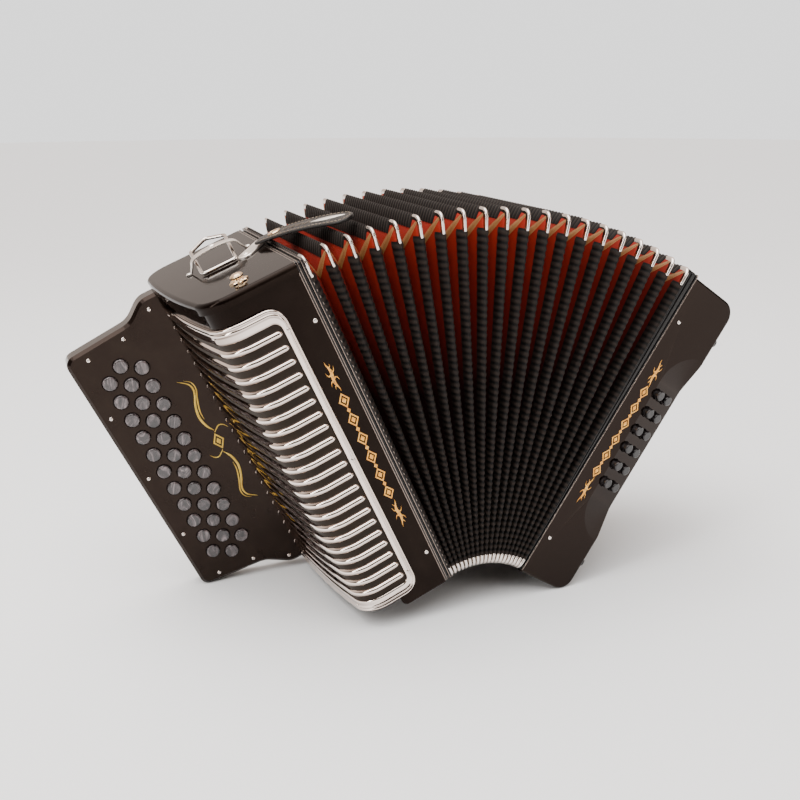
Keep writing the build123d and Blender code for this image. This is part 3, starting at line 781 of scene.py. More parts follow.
def endRim():
    # Covered wedge between the last ridge and the bass half.
    rim = Shape()
    last = ridgeAngle(fan["gaps"])
    rows = []
    for t, inset in bellows["endRim"]:
        loop = loopPoints(inset, bellows["endRimRound"])
        rows.append([onRay(last + fan["step"] / 2 * t, 0, y, h) for y, h in loop])
    rim.grid(rows, closeColumns=True)
    return rim


def buildBellows():
    cadStands = {0: ["bellows_section_1"], 1: ["bellows_section_2"], 2: []}
    ridgesOf = {0: range(0, 7), 1: range(7, 14), 2: range(14, 20)}
    for link in range(3):
        start = fan["firstRidge"] + link * fan["linkTurn"]
        end = start + fan["linkTurn"]
        cloth, tape, metal, gusset = Shape(), Shape(), Shape(), Shape()
        metalShares = []
        for k in ridgesOf[link]:
            addTape(tape, ridgeAngle(k))
            before = len(metal.verts)
            for ySign in (-1, 1):
                for top in (True, False):
                    addCorner(metal, ridgeAngle(k), ySign, top)
            share = min(max((ridgeAngle(k) - start) / fan["linkTurn"], 0), 1)
            metalShares += [share] * (len(metal.verts) - before)
        half = fan["step"] / 2
        for k in range(fan["gaps"] + 1):
            ridge = ridgeAngle(k)
            for valley in (ridge + half, ridge - half):
                middle = (ridge + valley) / 2
                if not start < middle < end or valley < fan["firstRidge"] or middle > ridgeAngle(fan["gaps"]):
                    continue
                addPanel(cloth, ridge, valley)
                for ySign in (-1, 1):
                    for top in (True, False):
                        addGusset(gusset, ridge, valley, ySign, top)
        n = link + 1
        pieces = [
            makePiece(f"bellows_cloth_{n}", cloth, plain, redCloth, smooth=25, facing=False),
            makePiece(f"bellows_tape_{n}", tape, plain, ridgeTape, smooth=60),
            makePiece(f"bellows_gussets_{n}", gusset, plain, tanLeather, smooth=50, facing=False),
        ]
        if link == 2:
            pieces.append(makePiece("bellows_end_rim", endRim(), plain, frameBlack, smooth=35, facing=False))
        for piece in pieces:
            bendWithLink(piece, link)
        corners = makePiece(f"bellows_corners_{n}", metal, plain, fittingChrome, smooth=50)
        bendWithLink(corners, link)
        if cadStands[link]:
            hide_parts(*cadStands[link])
        print("bellows link", n, "ready:", sum(len(part.verts) for part in (cloth, tape, metal, gusset)))


buildBellows()

plates = dict(
    inner=22.0, innerRound=2.0, outerRound=2.2,
    trebleLevels=[(-8.0, 0.5), (-7.6, 0), (-6.0, 0), (-5.6, 0.5), (-5.5, 1.6),        # across, inset
                  (-3.5, 1.6), (-3.4, 0.5), (-3.0, 0), (-0.9, 0), (-0.5, 0.5)],
    bassLevels=[(-1.0, 1.5), (-0.7, 1.0), (0.4, 1.0), (0.6, 1.6), (0.8, 1.6),
                (0.9, 0.5), (1.2, 0), (2.2, 0), (2.6, 0.5)],
    beadHalf=0.42, beadSunk=0.12, trebleBeads=(-7.7, -5.9, -2.9, -0.8), bassBeads=(2.4,),
)


def addFrame(name, matrix, body, levels, replaces):
    # Layered rim that holds the bellows: levels are (across, inset) down its outside.
    shape = Shape()
    rows = [[(across, y, h) for y, h in loopPoints(inset, plates["outerRound"])] for across, inset in levels]
    for across, _ in (levels[-1], levels[0]):
        rows.append([(across, y, h) for y, h in loopPoints(plates["inner"], plates["innerRound"])])
    shape.grid(rows, closeRows=True, closeColumns=True)
    addPiece(name, shape, matrix, frameBlack, body, "bellows_card", replaces, smooth=35)


addFrame("treble_frame_layers", treble, "treble_half", plates["trebleLevels"], ["treble_bellows_frame"])
addFrame("bass_frame_layers", bass, "bass_half", plates["bassLevels"], ["bass_bellows_frame"])


def addBeads(name, matrix, body, places):
    # Bright beads that run round the frame along the edges of its plates.
    shape, half = Shape(), plates["beadHalf"]
    for across in places:
        rows = []
        for a in np.linspace(0, math.pi, 5):
            loop = loopPoints(plates["beadSunk"] - half * math.sin(a), plates["outerRound"])
            rows.append([(across - half * math.cos(a), y, h) for y, h in loop])
        shape.grid(rows, closeColumns=True)
    addPiece(name, shape, matrix, beadMetal, body, "fitting_metal", smooth=60)


addBeads("treble_frame_beads", treble, "treble_half", plates["trebleBeads"])
addBeads("bass_frame_beads", bass, "bass_half", plates["bassBeads"])
print("bellows frames ready")


# treble grille
grille = dict(
    low=11.0, high=284.0, right=-30.5, endDepth=56.7,    # the grille runs back to the board at this depth
    topBand=12.5, lowBand=10.5, sideBand=6.6, corner=14.0, innerCorner=6.0, bandSamples=46,
    bandProfile=[   # share of the way in from the edge, proud
        (0.0, -2.6), (0.0, -0.8), (0.03, -0.1), (0.08, 0.35), (0.14, 0.55), (0.20, 0.35), (0.26, -0.25),
        (0.30, -0.3), (0.35, 0.15), (0.41, 0.35), (0.47, 0.15), (0.53, -0.4), (0.60, -0.5), (0.85, -0.55),
        (0.95, -0.75), (1.0, -1.3), (1.0, -2.6)],
    slats=21, first=29.6, pitch=11.67, slatHigh=6.3, slatBulge=3.5, slatEnd=-38.6, slatRound=3.4,
    slatProud=0.15, slatSunk=-2.5, slatFlare=1.1,
    inset=0.6, clothInset=3.1, clothMargin=6.0, clothFromEdge=3.0,
    frontScrews=[(-34.0, 263.0), (-34.0, 146.0), (-34.0, 30.0)],                 # across, height
    bentScrews=[(-2.5, 276.0), (-2.5, 16.0), (62.0, 278.0), (62.0, 16.0)],       # run (below 0, from the end)
    screwRadius=1.7, screwHigh=0.8,
)
outline = dict(front=-98.3, bendAcross=-61.7, bendRadius=24.0, bendTurn=80.0, left=-98.5, boardDepth=57.0)


def bowedSide():
    # Centre and radius of the long bowed side, from the end of the tight corner to the board.
    turn = math.radians(outline["bendTurn"])
    start = Vector((outline["bendAcross"] - outline["bendRadius"] * math.sin(turn),
                    outline["front"] + outline["bendRadius"] * (1 - math.cos(turn))))
    end = Vector((outline["left"], outline["boardDepth"]))
    inward = Vector((math.sin(turn), math.cos(turn)))
    chord = end - start
    radius = chord.length_squared / (2 * chord.dot(inward))
    return start + inward * radius, radius, start, end


def grilleLine(inset):
    # Points and normals of the grille's line, seen along the ray, from its right edge back to the board,
    # and the run to each.
    centre, radius, start, end = bowedSide()
    points = [(Vector((a, outline["front"])), Vector((0, -1)))
              for a in np.linspace(grille["right"], outline["bendAcross"], 22)]
    middle = Vector((outline["bendAcross"], outline["front"] + outline["bendRadius"]))
    for a in np.radians(np.linspace(-90, -90 - outline["bendTurn"], 24))[1:]:
        normal = Vector((math.cos(a), math.sin(a)))
        points.append((middle + normal * outline["bendRadius"], normal))
    firstTurn = math.atan2(start.y - centre.y, start.x - centre.x)
    endRise = grille["endDepth"] - centre.y
    lastTurn = math.atan2(endRise, -math.sqrt(radius ** 2 - endRise ** 2))
    firstTurn, lastTurn = firstTurn % (2 * math.pi), lastTurn % (2 * math.pi)
    for t in np.linspace(0, 1, 30)[1:]:
        a = firstTurn + (lastTurn - firstTurn) * t
        normal = Vector((math.cos(a), math.sin(a)))
        points.append((centre + normal * radius, normal))
    line = [(p - n * inset, n) for p, n in points]
    run = np.concatenate([[0], np.cumsum([(b[0] - a[0]).length for a, b in zip(line, line[1:])])])
    return line, run


grillePoints, grilleRun = grilleLine(grille["inset"])
grilleAcross = np.array([[p.x, p.y, n.x, n.y] for p, n in grillePoints])
grilleLength = float(grilleRun[-1])


def onGrille(run, h, proud):
    a, y, nx, ny = (np.interp(run, grilleRun, grilleAcross[:, k]) for k in range(4))
    return (a + nx * proud, y + ny * proud, h)


def bandEdge(share, samples):
    # Line round the open side of the grille; share 0 is its outer edge and 1 its inner edge.
    low, high = grille["low"] + grille["lowBand"] * share, grille["high"] - grille["topBand"] * share
    right = grille["sideBand"] * share
    r = grille["corner"] - (grille["corner"] - grille["innerCorner"]) * share
    quarter = np.linspace(0, math.pi / 2, 10)[1:]
    line = [(grilleLength + (right + r - grilleLength) * t, high) for t in np.linspace(0, 1, samples)]
    line += [(right + r - r * math.sin(a), high - r + r * math.cos(a)) for a in quarter]
    line += [(right, high - r + (low + r - high + r) * t) for t in np.linspace(0, 1, 24)[1:]]
    line += [(right + r - r * math.cos(a), low + r - r * math.sin(a)) for a in quarter]
    line += [(right + r + (grilleLength - right - r) * t, low) for t in np.linspace(0, 1, samples)[1:]]
    return line


def addSlats(shape):
    g = grille
    startRun = g["right"] - g["slatEnd"]
    runs = [startRun + d for d in (0, 0.12, 0.45, 1.0, 1.8, 2.6, 3.4, 4.6)]      # close where it rounds
    runs += list(np.linspace(startRun + 7, grilleLength - 2.4, 58))
    runs += [grilleLength - d for d in (1.8, 1.2, 0.6, 0.0)]
    for i in range(g["slats"]):
        centre = g["first"] + i * g["pitch"]
        rows = []
        for run in runs:
            d = min((run - startRun) / g["slatRound"], 1)
            fill = max(math.sqrt(max(1 - (1 - d) ** 2, 0)), 0.04)
            half = g["slatHigh"] / 2 * fill
            flare = g["slatFlare"] * min(max((run - grilleLength + 2.2) / 1.6, 0), 1)
            row = []
            for t in np.linspace(-1, 1, 11):
                bulge = -g["slatBulge"] * (1 - math.sqrt(max(1 - 0.93 * t * t, 0)))
                proud = g["slatProud"] + flare + bulge * (0.5 + 0.5 * fill) - (1 - fill) * 1.6
                row.append(onGrille(run, centre + half * t, proud))
            row += [onGrille(run, centre + half * 0.8 * side, g["slatSunk"]) for side in (1, -1)]
            rows.append(row)
        shape.grid(rows, closeColumns=True, capEnds=True)


def buildGrille():
    shape = Shape()
    rows = []
    for share, proud in grille["bandProfile"]:
        rows.append([onGrille(run, h, proud) for run, h in bandEdge(share, grille["bandSamples"])])
    shape.grid(rows, closeRows=True)
    addSlats(shape)
    addPiece("grille_slats_and_rim", shape, treble, slatChrome, "treble_half", "grille_metal",
             ["treble_grille"], smooth=38)
    # cloth behind the slats
    line, run = grilleLine(grille["clothInset"])
    cloth = Shape()
    heights = np.linspace(grille["low"] + grille["clothMargin"], grille["high"] - grille["clothMargin"], 60)
    keep = [i for i in range(len(line)) if line[i][0].x < grille["right"] - grille["clothFromEdge"]]
    cloth.grid([[(line[i][0].x, line[i][0].y, h) for i in keep] for h in heights],
               uv=[[(run[i] * mm, h * mm) for i in keep] for h in heights])
    addPiece("grille_cloth", cloth, treble, grilleCloth, "treble_half", "grille_metal", smooth=60,
             facing=False)
    screws = Shape()
    size = grille["screwRadius"], grille["screwHigh"]
    for across, h in grille["frontScrews"]:
        addScrew(screws, (across, outline["front"] + 1.0, h), (0, -1, 0), (1, 0, 0.3), *size)
    for at, h in grille["bentScrews"]:
        runAt = at if at > 0 else grilleLength + at
        base, tip = Vector(onGrille(runAt, h, -0.6)), Vector(onGrille(runAt, h, 0.4))
        addScrew(screws, base, tip - base, (0, 0, 1), *size)
    addPiece("grille_screws", screws, treble, fittingChrome, "treble_half", "grille_metal", smooth=30)


buildGrille()
print("grille ready")


# gold ornament
ornament = dict(
    proud=0.22,
    strips=[   # half, across, heights of its two flourishes, chain from and to and its count
        ("treble", -19.0, (214.5, 82.5), (104.0, 193.0, 6)),
        ("bass", 16.8, (213.0, 92.0), (112.0, 194.0, 6)),
    ],
    flourishHalf=(4.6, 13.8), lozengeHalf=(4.7, 6.6), linkShare=0.36, linkRim=0.5,
    boardAcross=-113.0, boardMiddle=156.0, boardLozenge=(5.2, 8.2),
)
flourishStrokes = [   # across, height, half width: a pointed wave with barbs, turned half round below
    [(-0.30, 1.0, 0.01), (-0.26, 0.78, 0.07), (-0.04, 0.56, 0.15), (0.10, 0.30, 0.24), (0.0, -0.02, 0.26)],
    [(0.10, 0.34, 0.14), (0.40, 0.26, 0.11), (0.66, 0.34, 0.06), (0.84, 0.54, 0.01)],
    [(-0.06, 0.16, 0.16), (-0.42, 0.08, 0.11), (-0.70, 0.16, 0.06), (-0.88, 0.34, 0.01)],
    [(0.04, 0.56, 0.09), (0.26, 0.60, 0.06), (0.40, 0.76, 0.01)],
]
boardStrokes = [      # across, height, half width: two waves and a curl, turned half round below
    [(1.0, 11, 0.2), (-2.8, 18, 0.9), (-4.6, 28, 1.0), (-2.2, 39, 0.9), (2.6, 50, 0.8), (1.8, 58, 0.6),
     (-6.2, 65, 0.08)],
    [(-1.6, 24, 0.1), (-1.4, 32, 0.5), (1.4, 42, 0.6), (5.2, 52, 0.5), (4.2, 59, 0.3), (-0.6, 63, 0.06)],
    [(0.8, 9, 0.3), (6.2, 13, 0.5), (10.2, 12, 0.4), (13.4, 8, 0.06)],
]


def addStroke(shape, points, face):
    # Raised tapering stroke on a face that looks to the front; points are (across, height, half width).
    line = smoothLine(points, 7)
    rows = []
    for i, (a, h, wide) in enumerate(line):
        ahead = line[min(i + 1, len(line) - 1)] - line[max(i - 1, 0)]
        size = math.hypot(ahead[0], ahead[1]) or 1
        sideA, sideH = -ahead[1] / size, ahead[0] / size
        wide = max(wide, 0.05)
        rows.append([(a + sideA * wide * t, face - lift * ornament["proud"], h + sideH * wide * t)
                     for t, lift in ((-1, -0.3), (-1, 0.5), (-0.6, 1), (0.6, 1), (1, 0.5), (1, -0.3))])
    shape.grid(rows, closeColumns=True, capEnds=True)


def addFlourish(shape, across, height, face, flip=1):
    wide, tall = ornament["flourishHalf"]
    for turn in (1, -1):
        for stroke in flourishStrokes:
            points = [(across + x * wide * flip * turn, height + y * tall * turn, w * wide)
                      for x, y, w in stroke]
            addStroke(shape, points, face)


def addLozenge(shape, across, height, face, wide, tall, rim=0.24):
    # Diamond ring with a small diamond inside.
    def diamonds(*levels):
        return [[(across + x * wide * reach, face - lift * ornament["proud"], height + y * tall * reach)
                 for x, y in ((0, 1), (1, 0), (0, -1), (-1, 0))] for reach, lift in levels]

    hole = 1 - rim
    ring = ((1.0, -0.3), (1.0, 0.6), (0.94, 1.0), (hole, 1.0), (hole - 0.05, 0.6), (hole - 0.05, -0.3))
    shape.grid(diamonds(*ring), closeRows=True, closeColumns=True)
    shape.grid(diamonds((0.42, -0.3), (0.42, 0.6), (0.36, 1.0), (0.05, 1.0)), closeColumns=True, capEnds=True)


def addChain(shape, across, chain, face):
    low, high, count = chain
    wide, tall = ornament["lozengeHalf"]
    pitch = (high - low) / (count - 1)
    for i in range(count):
        addLozenge(shape, across, low + i * pitch, face, wide, tall)
        if i < count - 1:
            share, rim = ornament["linkShare"], ornament["linkRim"]
            addLozenge(shape, across, low + (i + 0.5) * pitch, face, wide * share, tall * share, rim)


def buildOrnament():
    for (half, across, heights, chain), matrix in zip(ornament["strips"], (treble, bass)):
        strip, face = Shape(), -fan["halfDepth"]
        for height, flip in zip(heights, (1, -1)):
            addFlourish(strip, across, height, face, flip)
        addChain(strip, across, chain, face)
        addPiece(half + "_ornament", strip, matrix, gold, half + "_half", "lacquer", smooth=30)
    # waves on the fingerboard: one set up, its twin turned over below, a lozenge between
    board = Shape()
    a0, h0, face = ornament["boardAcross"], ornament["boardMiddle"], outline["boardDepth"]
    for turn in (1, -1):
        for stroke in boardStrokes:
            addStroke(board, [(a0 + x * turn, h0 + y * turn, w) for x, y, w in stroke], face)
    addLozenge(board, a0, h0, face, *ornament["boardLozenge"])
    addPiece("fingerboard_ornament", board, treble, boardGold, "treble_half", "lacquer", smooth=30)


buildOrnament()
print("ornament ready")


# treble fittings
trebleFittings = dict(
    stud=(-47.0, -74.0),
    studBase=[(7.6, -0.2), (7.6, 0.9), (7.0, 1.4), (4.6, 1.9)],                  # radius, height
    studHead=[(5.4, 1.2), (4.9, 2.0), (4.5, 2.8), (5.1, 3.6), (5.2, 4.6), (4.6, 5.6), (3.2, 6.3), (1.5, 6.6)],
    ringDepth=17.0, bracketWidth=12.0, bracketTip=0.14, post=-43.0,
    bracketLine=[(-71.5, 0.3), (-67.6, 0.3), (-64.4, 4.6), (-61.0, 9.6), (-52.5, 11.7), (-43.0, 12.2),
                 (-33.0, 11.7), (-24.8, 9.6), (-21.6, 4.6), (-18.4, 0.3), (-14.6, 0.3)],      # across, height
    bracketSection=[(-1, 0), (-1, 0.75), (-0.86, 1.05), (-0.6, 0.85), (0.6, 0.85), (0.86, 1.05),
                    (1, 0.75), (1, 0), (0.9, -0.3), (-0.9, -0.3)],
    bracketScrews=(-69.4, -16.6),
    tabRoot=(-25.0, -9.0), tabEnd=(-5.0, 13.0), tabWide=13.0,
    tabLevels=[(0.0, 0.0), (0.0, 1.1), (0.25, 1.45), (0.6, 1.6), (1.6, 1.6), (2.2, 1.35), (2.8, 1.3)],
    pins=[(-12.3, 36.0), (-12.3, 259.5)], pinRadius=1.8, pinHigh=1.2,
    boardScrews=[(-172.5, 271), (-139.5, 274), (-109, 286.5), (-182, 218.5), (-182, 155.5), (-182, 93),
                 (-173, 41), (-139.5, 36), (-109, 20)],
    boardScrewRadius=1.6, boardScrewHigh=0.9,
)


def addStrapTab(tab, t, lid):
    # Rounded plate from its root to its end; its levels are (ninths shrunk, lift).
    root, end = Vector(t["tabRoot"]), Vector(t["tabEnd"])
    along = (end - root).normalized()
    side = Vector((-along.y, along.x))
    length, half = (end - root).length, t["tabWide"] / 2
    turns = np.linspace(-math.pi / 2, math.pi / 2, 13)
    edge = [root + along * (-half * math.cos(a)) + side * half * math.sin(a) for a in turns]
    edge += [root + along * (length + half * math.cos(a)) + side * half * math.sin(a)
             for a in np.linspace(math.pi / 2, -math.pi / 2, 13)]
    centre = root + along * length / 2
    rows = []
    for shrink, lift in t["tabLevels"]:
        rows.append([(p.x + (centre.x - p.x) * shrink / 9, p.y + (centre.y - p.y) * shrink / 9, lid + lift)
                     for p in edge])
    tab.grid(rows, closeColumns=True, capEnds=True)
    addScrew(tab, (root.x, root.y, lid + 1.25), (0, 0, 1), (1, 0.4, 0), 3.1, 1.3)


def addRingBracket(bracket, t, lid):
    # Arched strip that holds the wire ring down, with two small screws and a big one.
    line = smoothLine([(a, lid + lift) for a, lift in t["bracketLine"]], 6)
    rows = []
    for i, (a, h) in enumerate(line):
        ahead = line[min(i + 1, len(line) - 1)] - line[max(i - 1, 0)]
        size = np.linalg.norm(ahead)
        nx, nh = -ahead[1] / size, ahead[0] / size
        swell = math.sin(math.pi * i / (len(line) - 1)) ** 1.6
        wide = t["bracketWidth"] / 2 * (t["bracketTip"] + (1 - t["bracketTip"]) * swell)
        rows.append([(a + nx * lift, t["ringDepth"] + side * wide, h + nh * lift)
                     for side, lift in t["bracketSection"]])
    bracket.grid(rows, closeColumns=True, capEnds=True)
    for across in t["bracketScrews"]:
        addScrew(bracket, (across, t["ringDepth"], lid + 0.9), (0, 0, 1), (1, 0.2, 0), 1.9, 1.0)
    addScrew(bracket, (t["post"], t["ringDepth"], lid + 12.8), (0, 0, 1), (1, 0.6, 0), 3.0, 1.8)


def buildTrebleFittings():
    t = trebleFittings
    lid = fan["height"]
    stud, bracket, tab, screws = Shape(), Shape(), Shape(), Shape()
    foot = (*t["stud"], lid)
    addTurned(stud, t["studBase"], foot, (0, 0, 1), lobes=8, lobeDepth=0.24, segments=64)
    addTurned(stud, t["studHead"], foot, (0, 0, 1), lobes=6, lobeDepth=0.10, segments=60)
    addPiece("lid_stud", stud, treble, studGold, "treble_half", "fitting_metal",
             ["treble_fittings"], smooth=32)
    addRingBracket(bracket, t, lid)
    addPiece("ring_bracket", bracket, treble, satinNickel, "treble_half", "fitting_metal", smooth=35)
    addStrapTab(tab, t, lid)
    addPiece("strap_tab", tab, treble, satinNickel, "treble_half", "fitting_metal", smooth=32)
    for i, (across, h) in enumerate(t["pins"]):
        addScrew(screws, (across, -fan["halfDepth"], h), (0, -1, 0), (1, 0, 0.3 * i),
                 t["pinRadius"], t["pinHigh"], slotted=False)
    for i, (across, h) in enumerate(t["boardScrews"]):
        addScrew(screws, (across, outline["boardDepth"], h), (0, -1, 0), (1, 0, 0.5 * i),
                 t["boardScrewRadius"], t["boardScrewHigh"])
    addPiece("treble_screws", screws, treble, fittingChrome, "treble_half", "fitting_metal", smooth=30)


buildTrebleFittings()
print("treble fittings ready")


# bellows strap
closingStrap = dict(
    root=(-7.0, 5.0), tip=(53.0, -64.0), wide=22.0, thick=3.0, under=306.9, arch=2.6,
    rootNarrow=2.4, rootRun=5.0, sideRound=0.32, faceRound=0.55, grooveDeep=0.28, grooveHalf=0.5,
    stitchInset=2.0, stitchLong=2.6, stitchGap=0.9, stitchHalf=0.42,
    stampFrom=26.0, stampStep=3.4, stampCount=9, stampLean=1.1, stampReach=3.4, stampLong=6.8, stampHalf=0.34,
    snapAt=16.0,
    snapProfile=[(5.6, 2.6), (5.6, 3.6), (5.0, 4.3), (3.7, 4.2), (3.2, 3.7), (2.6, 3.8), (1.5, 4.5)],
    plateAt=70.0, plateHalf=15.0, plateWide=2.7, plateTurn=9.0,     # the slanted lens-shaped spring plate
    plateSection=[(-1, 0.0), (-0.96, 0.45), (-0.6, 0.8), (0, 0.95), (0.6, 0.8), (0.96, 0.45), (1, 0.0),
                  (0.8, -0.5), (-0.8, -0.5)],
)


def buildClosingStrap():
    c = closingStrap
    root, tip = Vector(c["root"]), Vector(c["tip"])
    length = (tip - root).length
    along = (tip - root).normalized()
    local = Matrix(((along.x, -along.y, 0), (along.y, along.x, 0), (0, 0, 1))).to_4x4()
    place = treble @ Matrix.Translation(Vector((root.x, root.y, c["under"])) * mm) @ local
    half = c["wide"] / 2

    def halfAt(x, inset=0.0):
        h = half - inset
        past = x - (length - half)
        rootIn = c["rootNarrow"] * max(0, 1 - x / c["rootRun"]) ** 2
        return (math.sqrt(max(h * h - past * past, 0)) if past > 0 else h) - rootIn

    leather = Shape()
    rows, uv = [], []
    xs = list(np.linspace(0, length - half, 26))
    xs += [length - half + half * math.sin(a) for a in np.linspace(0, math.pi / 2, 16)[1:-1]]
    xs += [length - half * 0.004]
    for x in xs:
        h = max(halfAt(x), 0.4)
        row = []
        for a in np.linspace(0, 2 * math.pi, 28, endpoint=False):
            ca, sa = math.cos(a), math.sin(a)
            y = h * math.copysign(abs(ca) ** c["sideRound"], ca)
            z = c["thick"] / 2 * math.copysign(abs(sa) ** c["faceRound"], sa)
            pad = groove = 0
            if sa > 0 and h > 4:      # padded middle and a groove inside the stitches, on the upper face
                pad = 0.35 * max(0, 1 - (y / max(h - 3.4, 0.5)) ** 4)
                fromGroove = abs(y) - (h - c["stitchInset"] - 0.9)
                groove = c["grooveDeep"] * math.exp(-(fromGroove / c["grooveHalf"]) ** 2)
            row.append((x, y, c["thick"] / 2 + z * 0.9 + pad * 0.6 - groove))
        rows.append(row)
    leather.grid(rows, closeColumns=True, capEnds=True)

    def addArched(name, shape, material, slot, replaces=(), smooth=60):
        # Bends a flat piece to the strap's gentle arch and adds it.
        shape.verts = [(x, y, z + c["arch"] * math.sin(math.pi * min(max(x / length, 0), 1)))
                       for x, y, z in shape.verts]
        addPiece(name, shape, place, material, "bellows_strap", slot, replaces, smooth=smooth)

    addArched("closing_strap", leather, strapLeather, "strap_leather", ["bellows_strap"], smooth=50)
    inset, level = c["stitchInset"], c["thick"] - 0.12
    edge = [(x, halfAt(x, inset)) for x in xs if halfAt(x, inset) > 0.3]
    line = [(x, -y, level) for x, y in edge] + [(length - inset, 0, level)]
    line += [(x, y, level) for x, y in edge[::-1]]
    line = line[2:-2]     # the very end at the root is left unstitched
    thread = Shape()
    addStitches(thread, line, [(0, 0, 1)] * len(line), c["stitchLong"], c["stitchGap"], c["stitchHalf"])
    addArched("closing_strap_thread", thread, strapThread, "strap_leather")
    stamp = Shape()
    for i in range(c["stampCount"]):     # zigzag of pressed lines along the strap's middle
        x = c["stampFrom"] + c["stampStep"] * i
        lean = c["stampLean"] if i % 2 else -c["stampLean"]
        stroke = [(x + lean * t, c["stampReach"] * t, c["thick"] + (0.05 if t else 0.12)) for t in (-1, 0, 1)]
        addStitches(stamp, stroke, [(0, 0, 1)] * 3, c["stampLong"], 0.0, c["stampHalf"])
    addArched("closing_strap_stamping", stamp, strapThread, "strap_leather")
    metal = Shape()
    addTurned(metal, c["snapProfile"], (c["snapAt"], 0, 0), (0, 0, 1), segments=36)
    addArched("closing_strap_snap", metal, studGold, "fitting_metal", smooth=35)
    plate = Shape()
    turn = math.radians(c["plateTurn"])
    cosTurn, sinTurn = math.cos(turn), math.sin(turn)
    rows = []
    for t in np.linspace(-1, 1, 25):
        swell = 1 - t * t
        wide = max(c["plateWide"] * swell, 0.12)
        row = []
        for side, lift in c["plateSection"]:
            x, y = t * c["plateHalf"], side * wide
            row.append((c["plateAt"] + x * cosTurn - y * sinTurn, x * sinTurn + y * cosTurn,
                        c["thick"] + 0.25 + lift * (0.4 + 0.6 * swell)))
        rows.append(row)
    plate.grid(rows, closeColumns=True, capEnds=True)
    addArched("closing_strap_plate", plate, satinNickel, "fitting_metal", smooth=45)


buildClosingStrap()
print("bellows strap ready")


# bass fittings and hand strap
bassFittings = dict(
    outer=58.5, footAt=[(-85.0, 30.0), (-85.0, 267.0), (85.0, 30.0), (85.0, 267.0)],
    footProfile=[(5.0, -0.2), (5.0, 0.6), (4.75, 2.6), (4.45, 4.6), (4.0, 5.6), (3.1, 6.0), (1.6, 5.85),
                 (1.3, 4.6)],
    strapMiddle=6.0, strapHalf=27.5, leather=3.4, clamps=(16.0, 284.0), clampLong=11.0, clampLeg=8.0,
    clampSection=[(-1, 0.1), (-1, 1.2), (-0.9, 1.6), (0.9, 1.6), (1, 1.2), (1, 0.1)],
    clampRaise=0.5, clampTips=(0.78, 0.95),      # how the ends of a plate narrow
    pins=[(10.0, 38.0), (10.0, 262.0)], pinRadius=1.8, pinHigh=1.2,
)
handStrap = dict(
    cup=-1.6, edge=0.55, edgeFrom=0.93, grooveAt=0.905, groove=0.3, grooveHalf=0.012,
    threadAt=0.935, threadFrom=22.5, threadTo=277.5, stitchLong=3.0, stitchGap=1.5, stitchHalf=0.34,
)


def strapLine():
    # Heights, and the across of the hand strap's inner and outer faces, read from its solid.
    toBass = bass.inverted()
    rows = {}
    for v in nodes["hand_strap"].data.vertices:
        p = (toBass @ v.co) / mm
        rows.setdefault(round(p.z, 0), []).append(p.x)
    heights = sorted(rows)
    inner = np.array([min(rows[h]) for h in heights])
    outer = np.array([max(rows[h]) for h in heights])
    return np.array(heights), inner, outer


def addClamp(metal, b, height):
    # Bent plate over one end of the hand strap, with a screw in each leg.
    reach = b["strapHalf"] + b["clampLeg"]
    rise = b["leather"] + b["clampRaise"]
    leg = [(-reach + run, w) for run, w in ((0, 0.0), (6.2, 0.0), (7.6, 0.6), (7.9, rise - 0.6), (9.0, rise))]
    line = leg + [(0, rise + 0.25)] + [(-y, w) for y, w in leg[::-1]]
    fine = []
    for (y0, w0), (y1, w1) in zip(line, line[1:]):
        fine += [(y0 + (y1 - y0) * t, w0 + (w1 - w0) * t) for t in (0, 0.34, 0.67)]
    fine.append(line[-1])
    rows = []
    for i, (y, w) in enumerate(fine):
        tip = min(i, len(fine) - 1 - i)
        wide = b["clampLong"] / 2 * (b["clampTips"][tip] if tip < 2 else 1)
        rows.append([(b["outer"] + w + lift, b["strapMiddle"] + y, height + side * wide)
                     for side, lift in b["clampSection"]])
    metal.grid(rows, closeColumns=True, capEnds=True)
    for ySign in (-1, 1):
        at = (b["outer"] + 1.5, b["strapMiddle"] + ySign * (reach - 3.6), height)
        addScrew(metal, at, (1, 0, 0), (0, 1, 0.4), 2.6, 1.1)


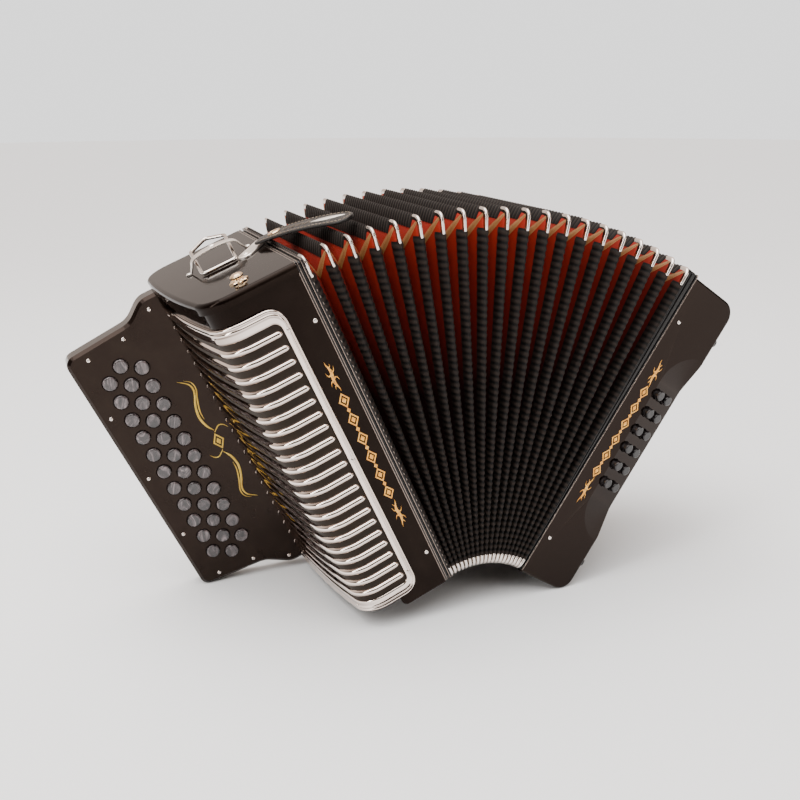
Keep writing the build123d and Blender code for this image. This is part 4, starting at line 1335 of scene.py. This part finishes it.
def buildHandStrap():
    b, s = bassFittings, handStrap
    middle, half = b["strapMiddle"], b["strapHalf"]
    heights, inner, outer = strapLine()
    flat = min(inner)
    bow = max(inner) - flat
    strap, thread = Shape(), Shape()
    rows, normals, edges = [], [], {-1: [], 1: []}
    for h in np.linspace(heights[0], heights[-1], 90):
        inside, outside = np.interp(h, heights, inner), np.interp(h, heights, outer)
        up = (np.interp(h + 2, heights, outer) - np.interp(h - 2, heights, outer)) / 4
        free = min(1, max(0, (inside - flat) / bow * 1.6))

        def cupAt(t):     # the free part of the strap curls over the hand
            return s["cup"] * free * abs(t) ** 2.5

        def edgeAt(t):
            return s["edge"] * max(0, (abs(t) - s["edgeFrom"]) / 0.07) ** 2

        row = []
        for t in np.linspace(-1, 1, 23):
            groove = s["groove"] * math.exp(-((abs(t) - s["grooveAt"]) / s["grooveHalf"]) ** 2)
            across = outside + cupAt(t) + 0.25 * free * (1 - t * t) - edgeAt(t) * 1.6 - groove
            row.append((across, middle + half * t, h))
        row += [(inside + cupAt(t) + edgeAt(t) * 1.6, middle + half * t, h) for t in np.linspace(1, -1, 13)]
        rows.append(row)
        if s["threadFrom"] < h < s["threadTo"]:
            for sign in (-1, 1):
                across = outside + cupAt(s["edgeFrom"]) - 0.1
                edges[sign].append((across, middle + half * s["threadAt"] * sign, h))
            normals.append((1, 0, -up))
    strap.grid(rows, closeColumns=True, capEnds=True)
    addPiece("hand_strap_leather", strap, bass, strapLeather, "bass_half", "strap_leather",
             ["hand_strap"], smooth=50)
    for sign in (-1, 1):
        addStitches(thread, edges[sign], normals, s["stitchLong"], s["stitchGap"], s["stitchHalf"])
    addPiece("hand_strap_thread", thread, bass, strapThread, "bass_half", "strap_leather", smooth=60)


def buildBassFittings():
    b = bassFittings
    feet, metal = Shape(), Shape()
    for y, h in b["footAt"]:
        addTurned(feet, b["footProfile"], (b["outer"], y, h), (1, 0, 0), side=(0, 1, 0), segments=32)
    addPiece("bass_feet", feet, bass, rubber, "bass_half", "fitting_metal", ["bass_fittings"], smooth=40)
    for height in b["clamps"]:
        addClamp(metal, b, height)
    for across, h in b["pins"]:
        for face in (-1, 1):
            addScrew(metal, (across, face * fan["halfDepth"], h), (0, face, 0), (1, 0, 0.2),
                     b["pinRadius"], b["pinHigh"], slotted=False)
    addPiece("strap_plates_and_pins", metal, bass, fittingChrome, "bass_half", "fitting_metal", smooth=35)
    buildHandStrap()


buildBassFittings()
print("bass fittings and hand strap ready")


# finishes of the carried-over solids
def finishNode(name, material):
    piece = nodes[name]
    if not piece.material_slots:
        piece.data.materials.append(material)
    for holder in piece.material_slots:
        holder.link = "OBJECT"
        holder.material = material


for name in nodes:
    if name.startswith("treble_button"):
        finishNode(name, pearl)
    elif name.startswith(("bass_button", "air_button")):
        finishNode(name, bassPearl)
for name in ("fingerboard", "bass_casing"):
    finishNode(name, lacquer)
finishNode("treble_casing", deepLacquer)
finishNode("shoulder_strap_ring", fittingChrome)
print("solids finished")

bpy.context.view_layer.update()
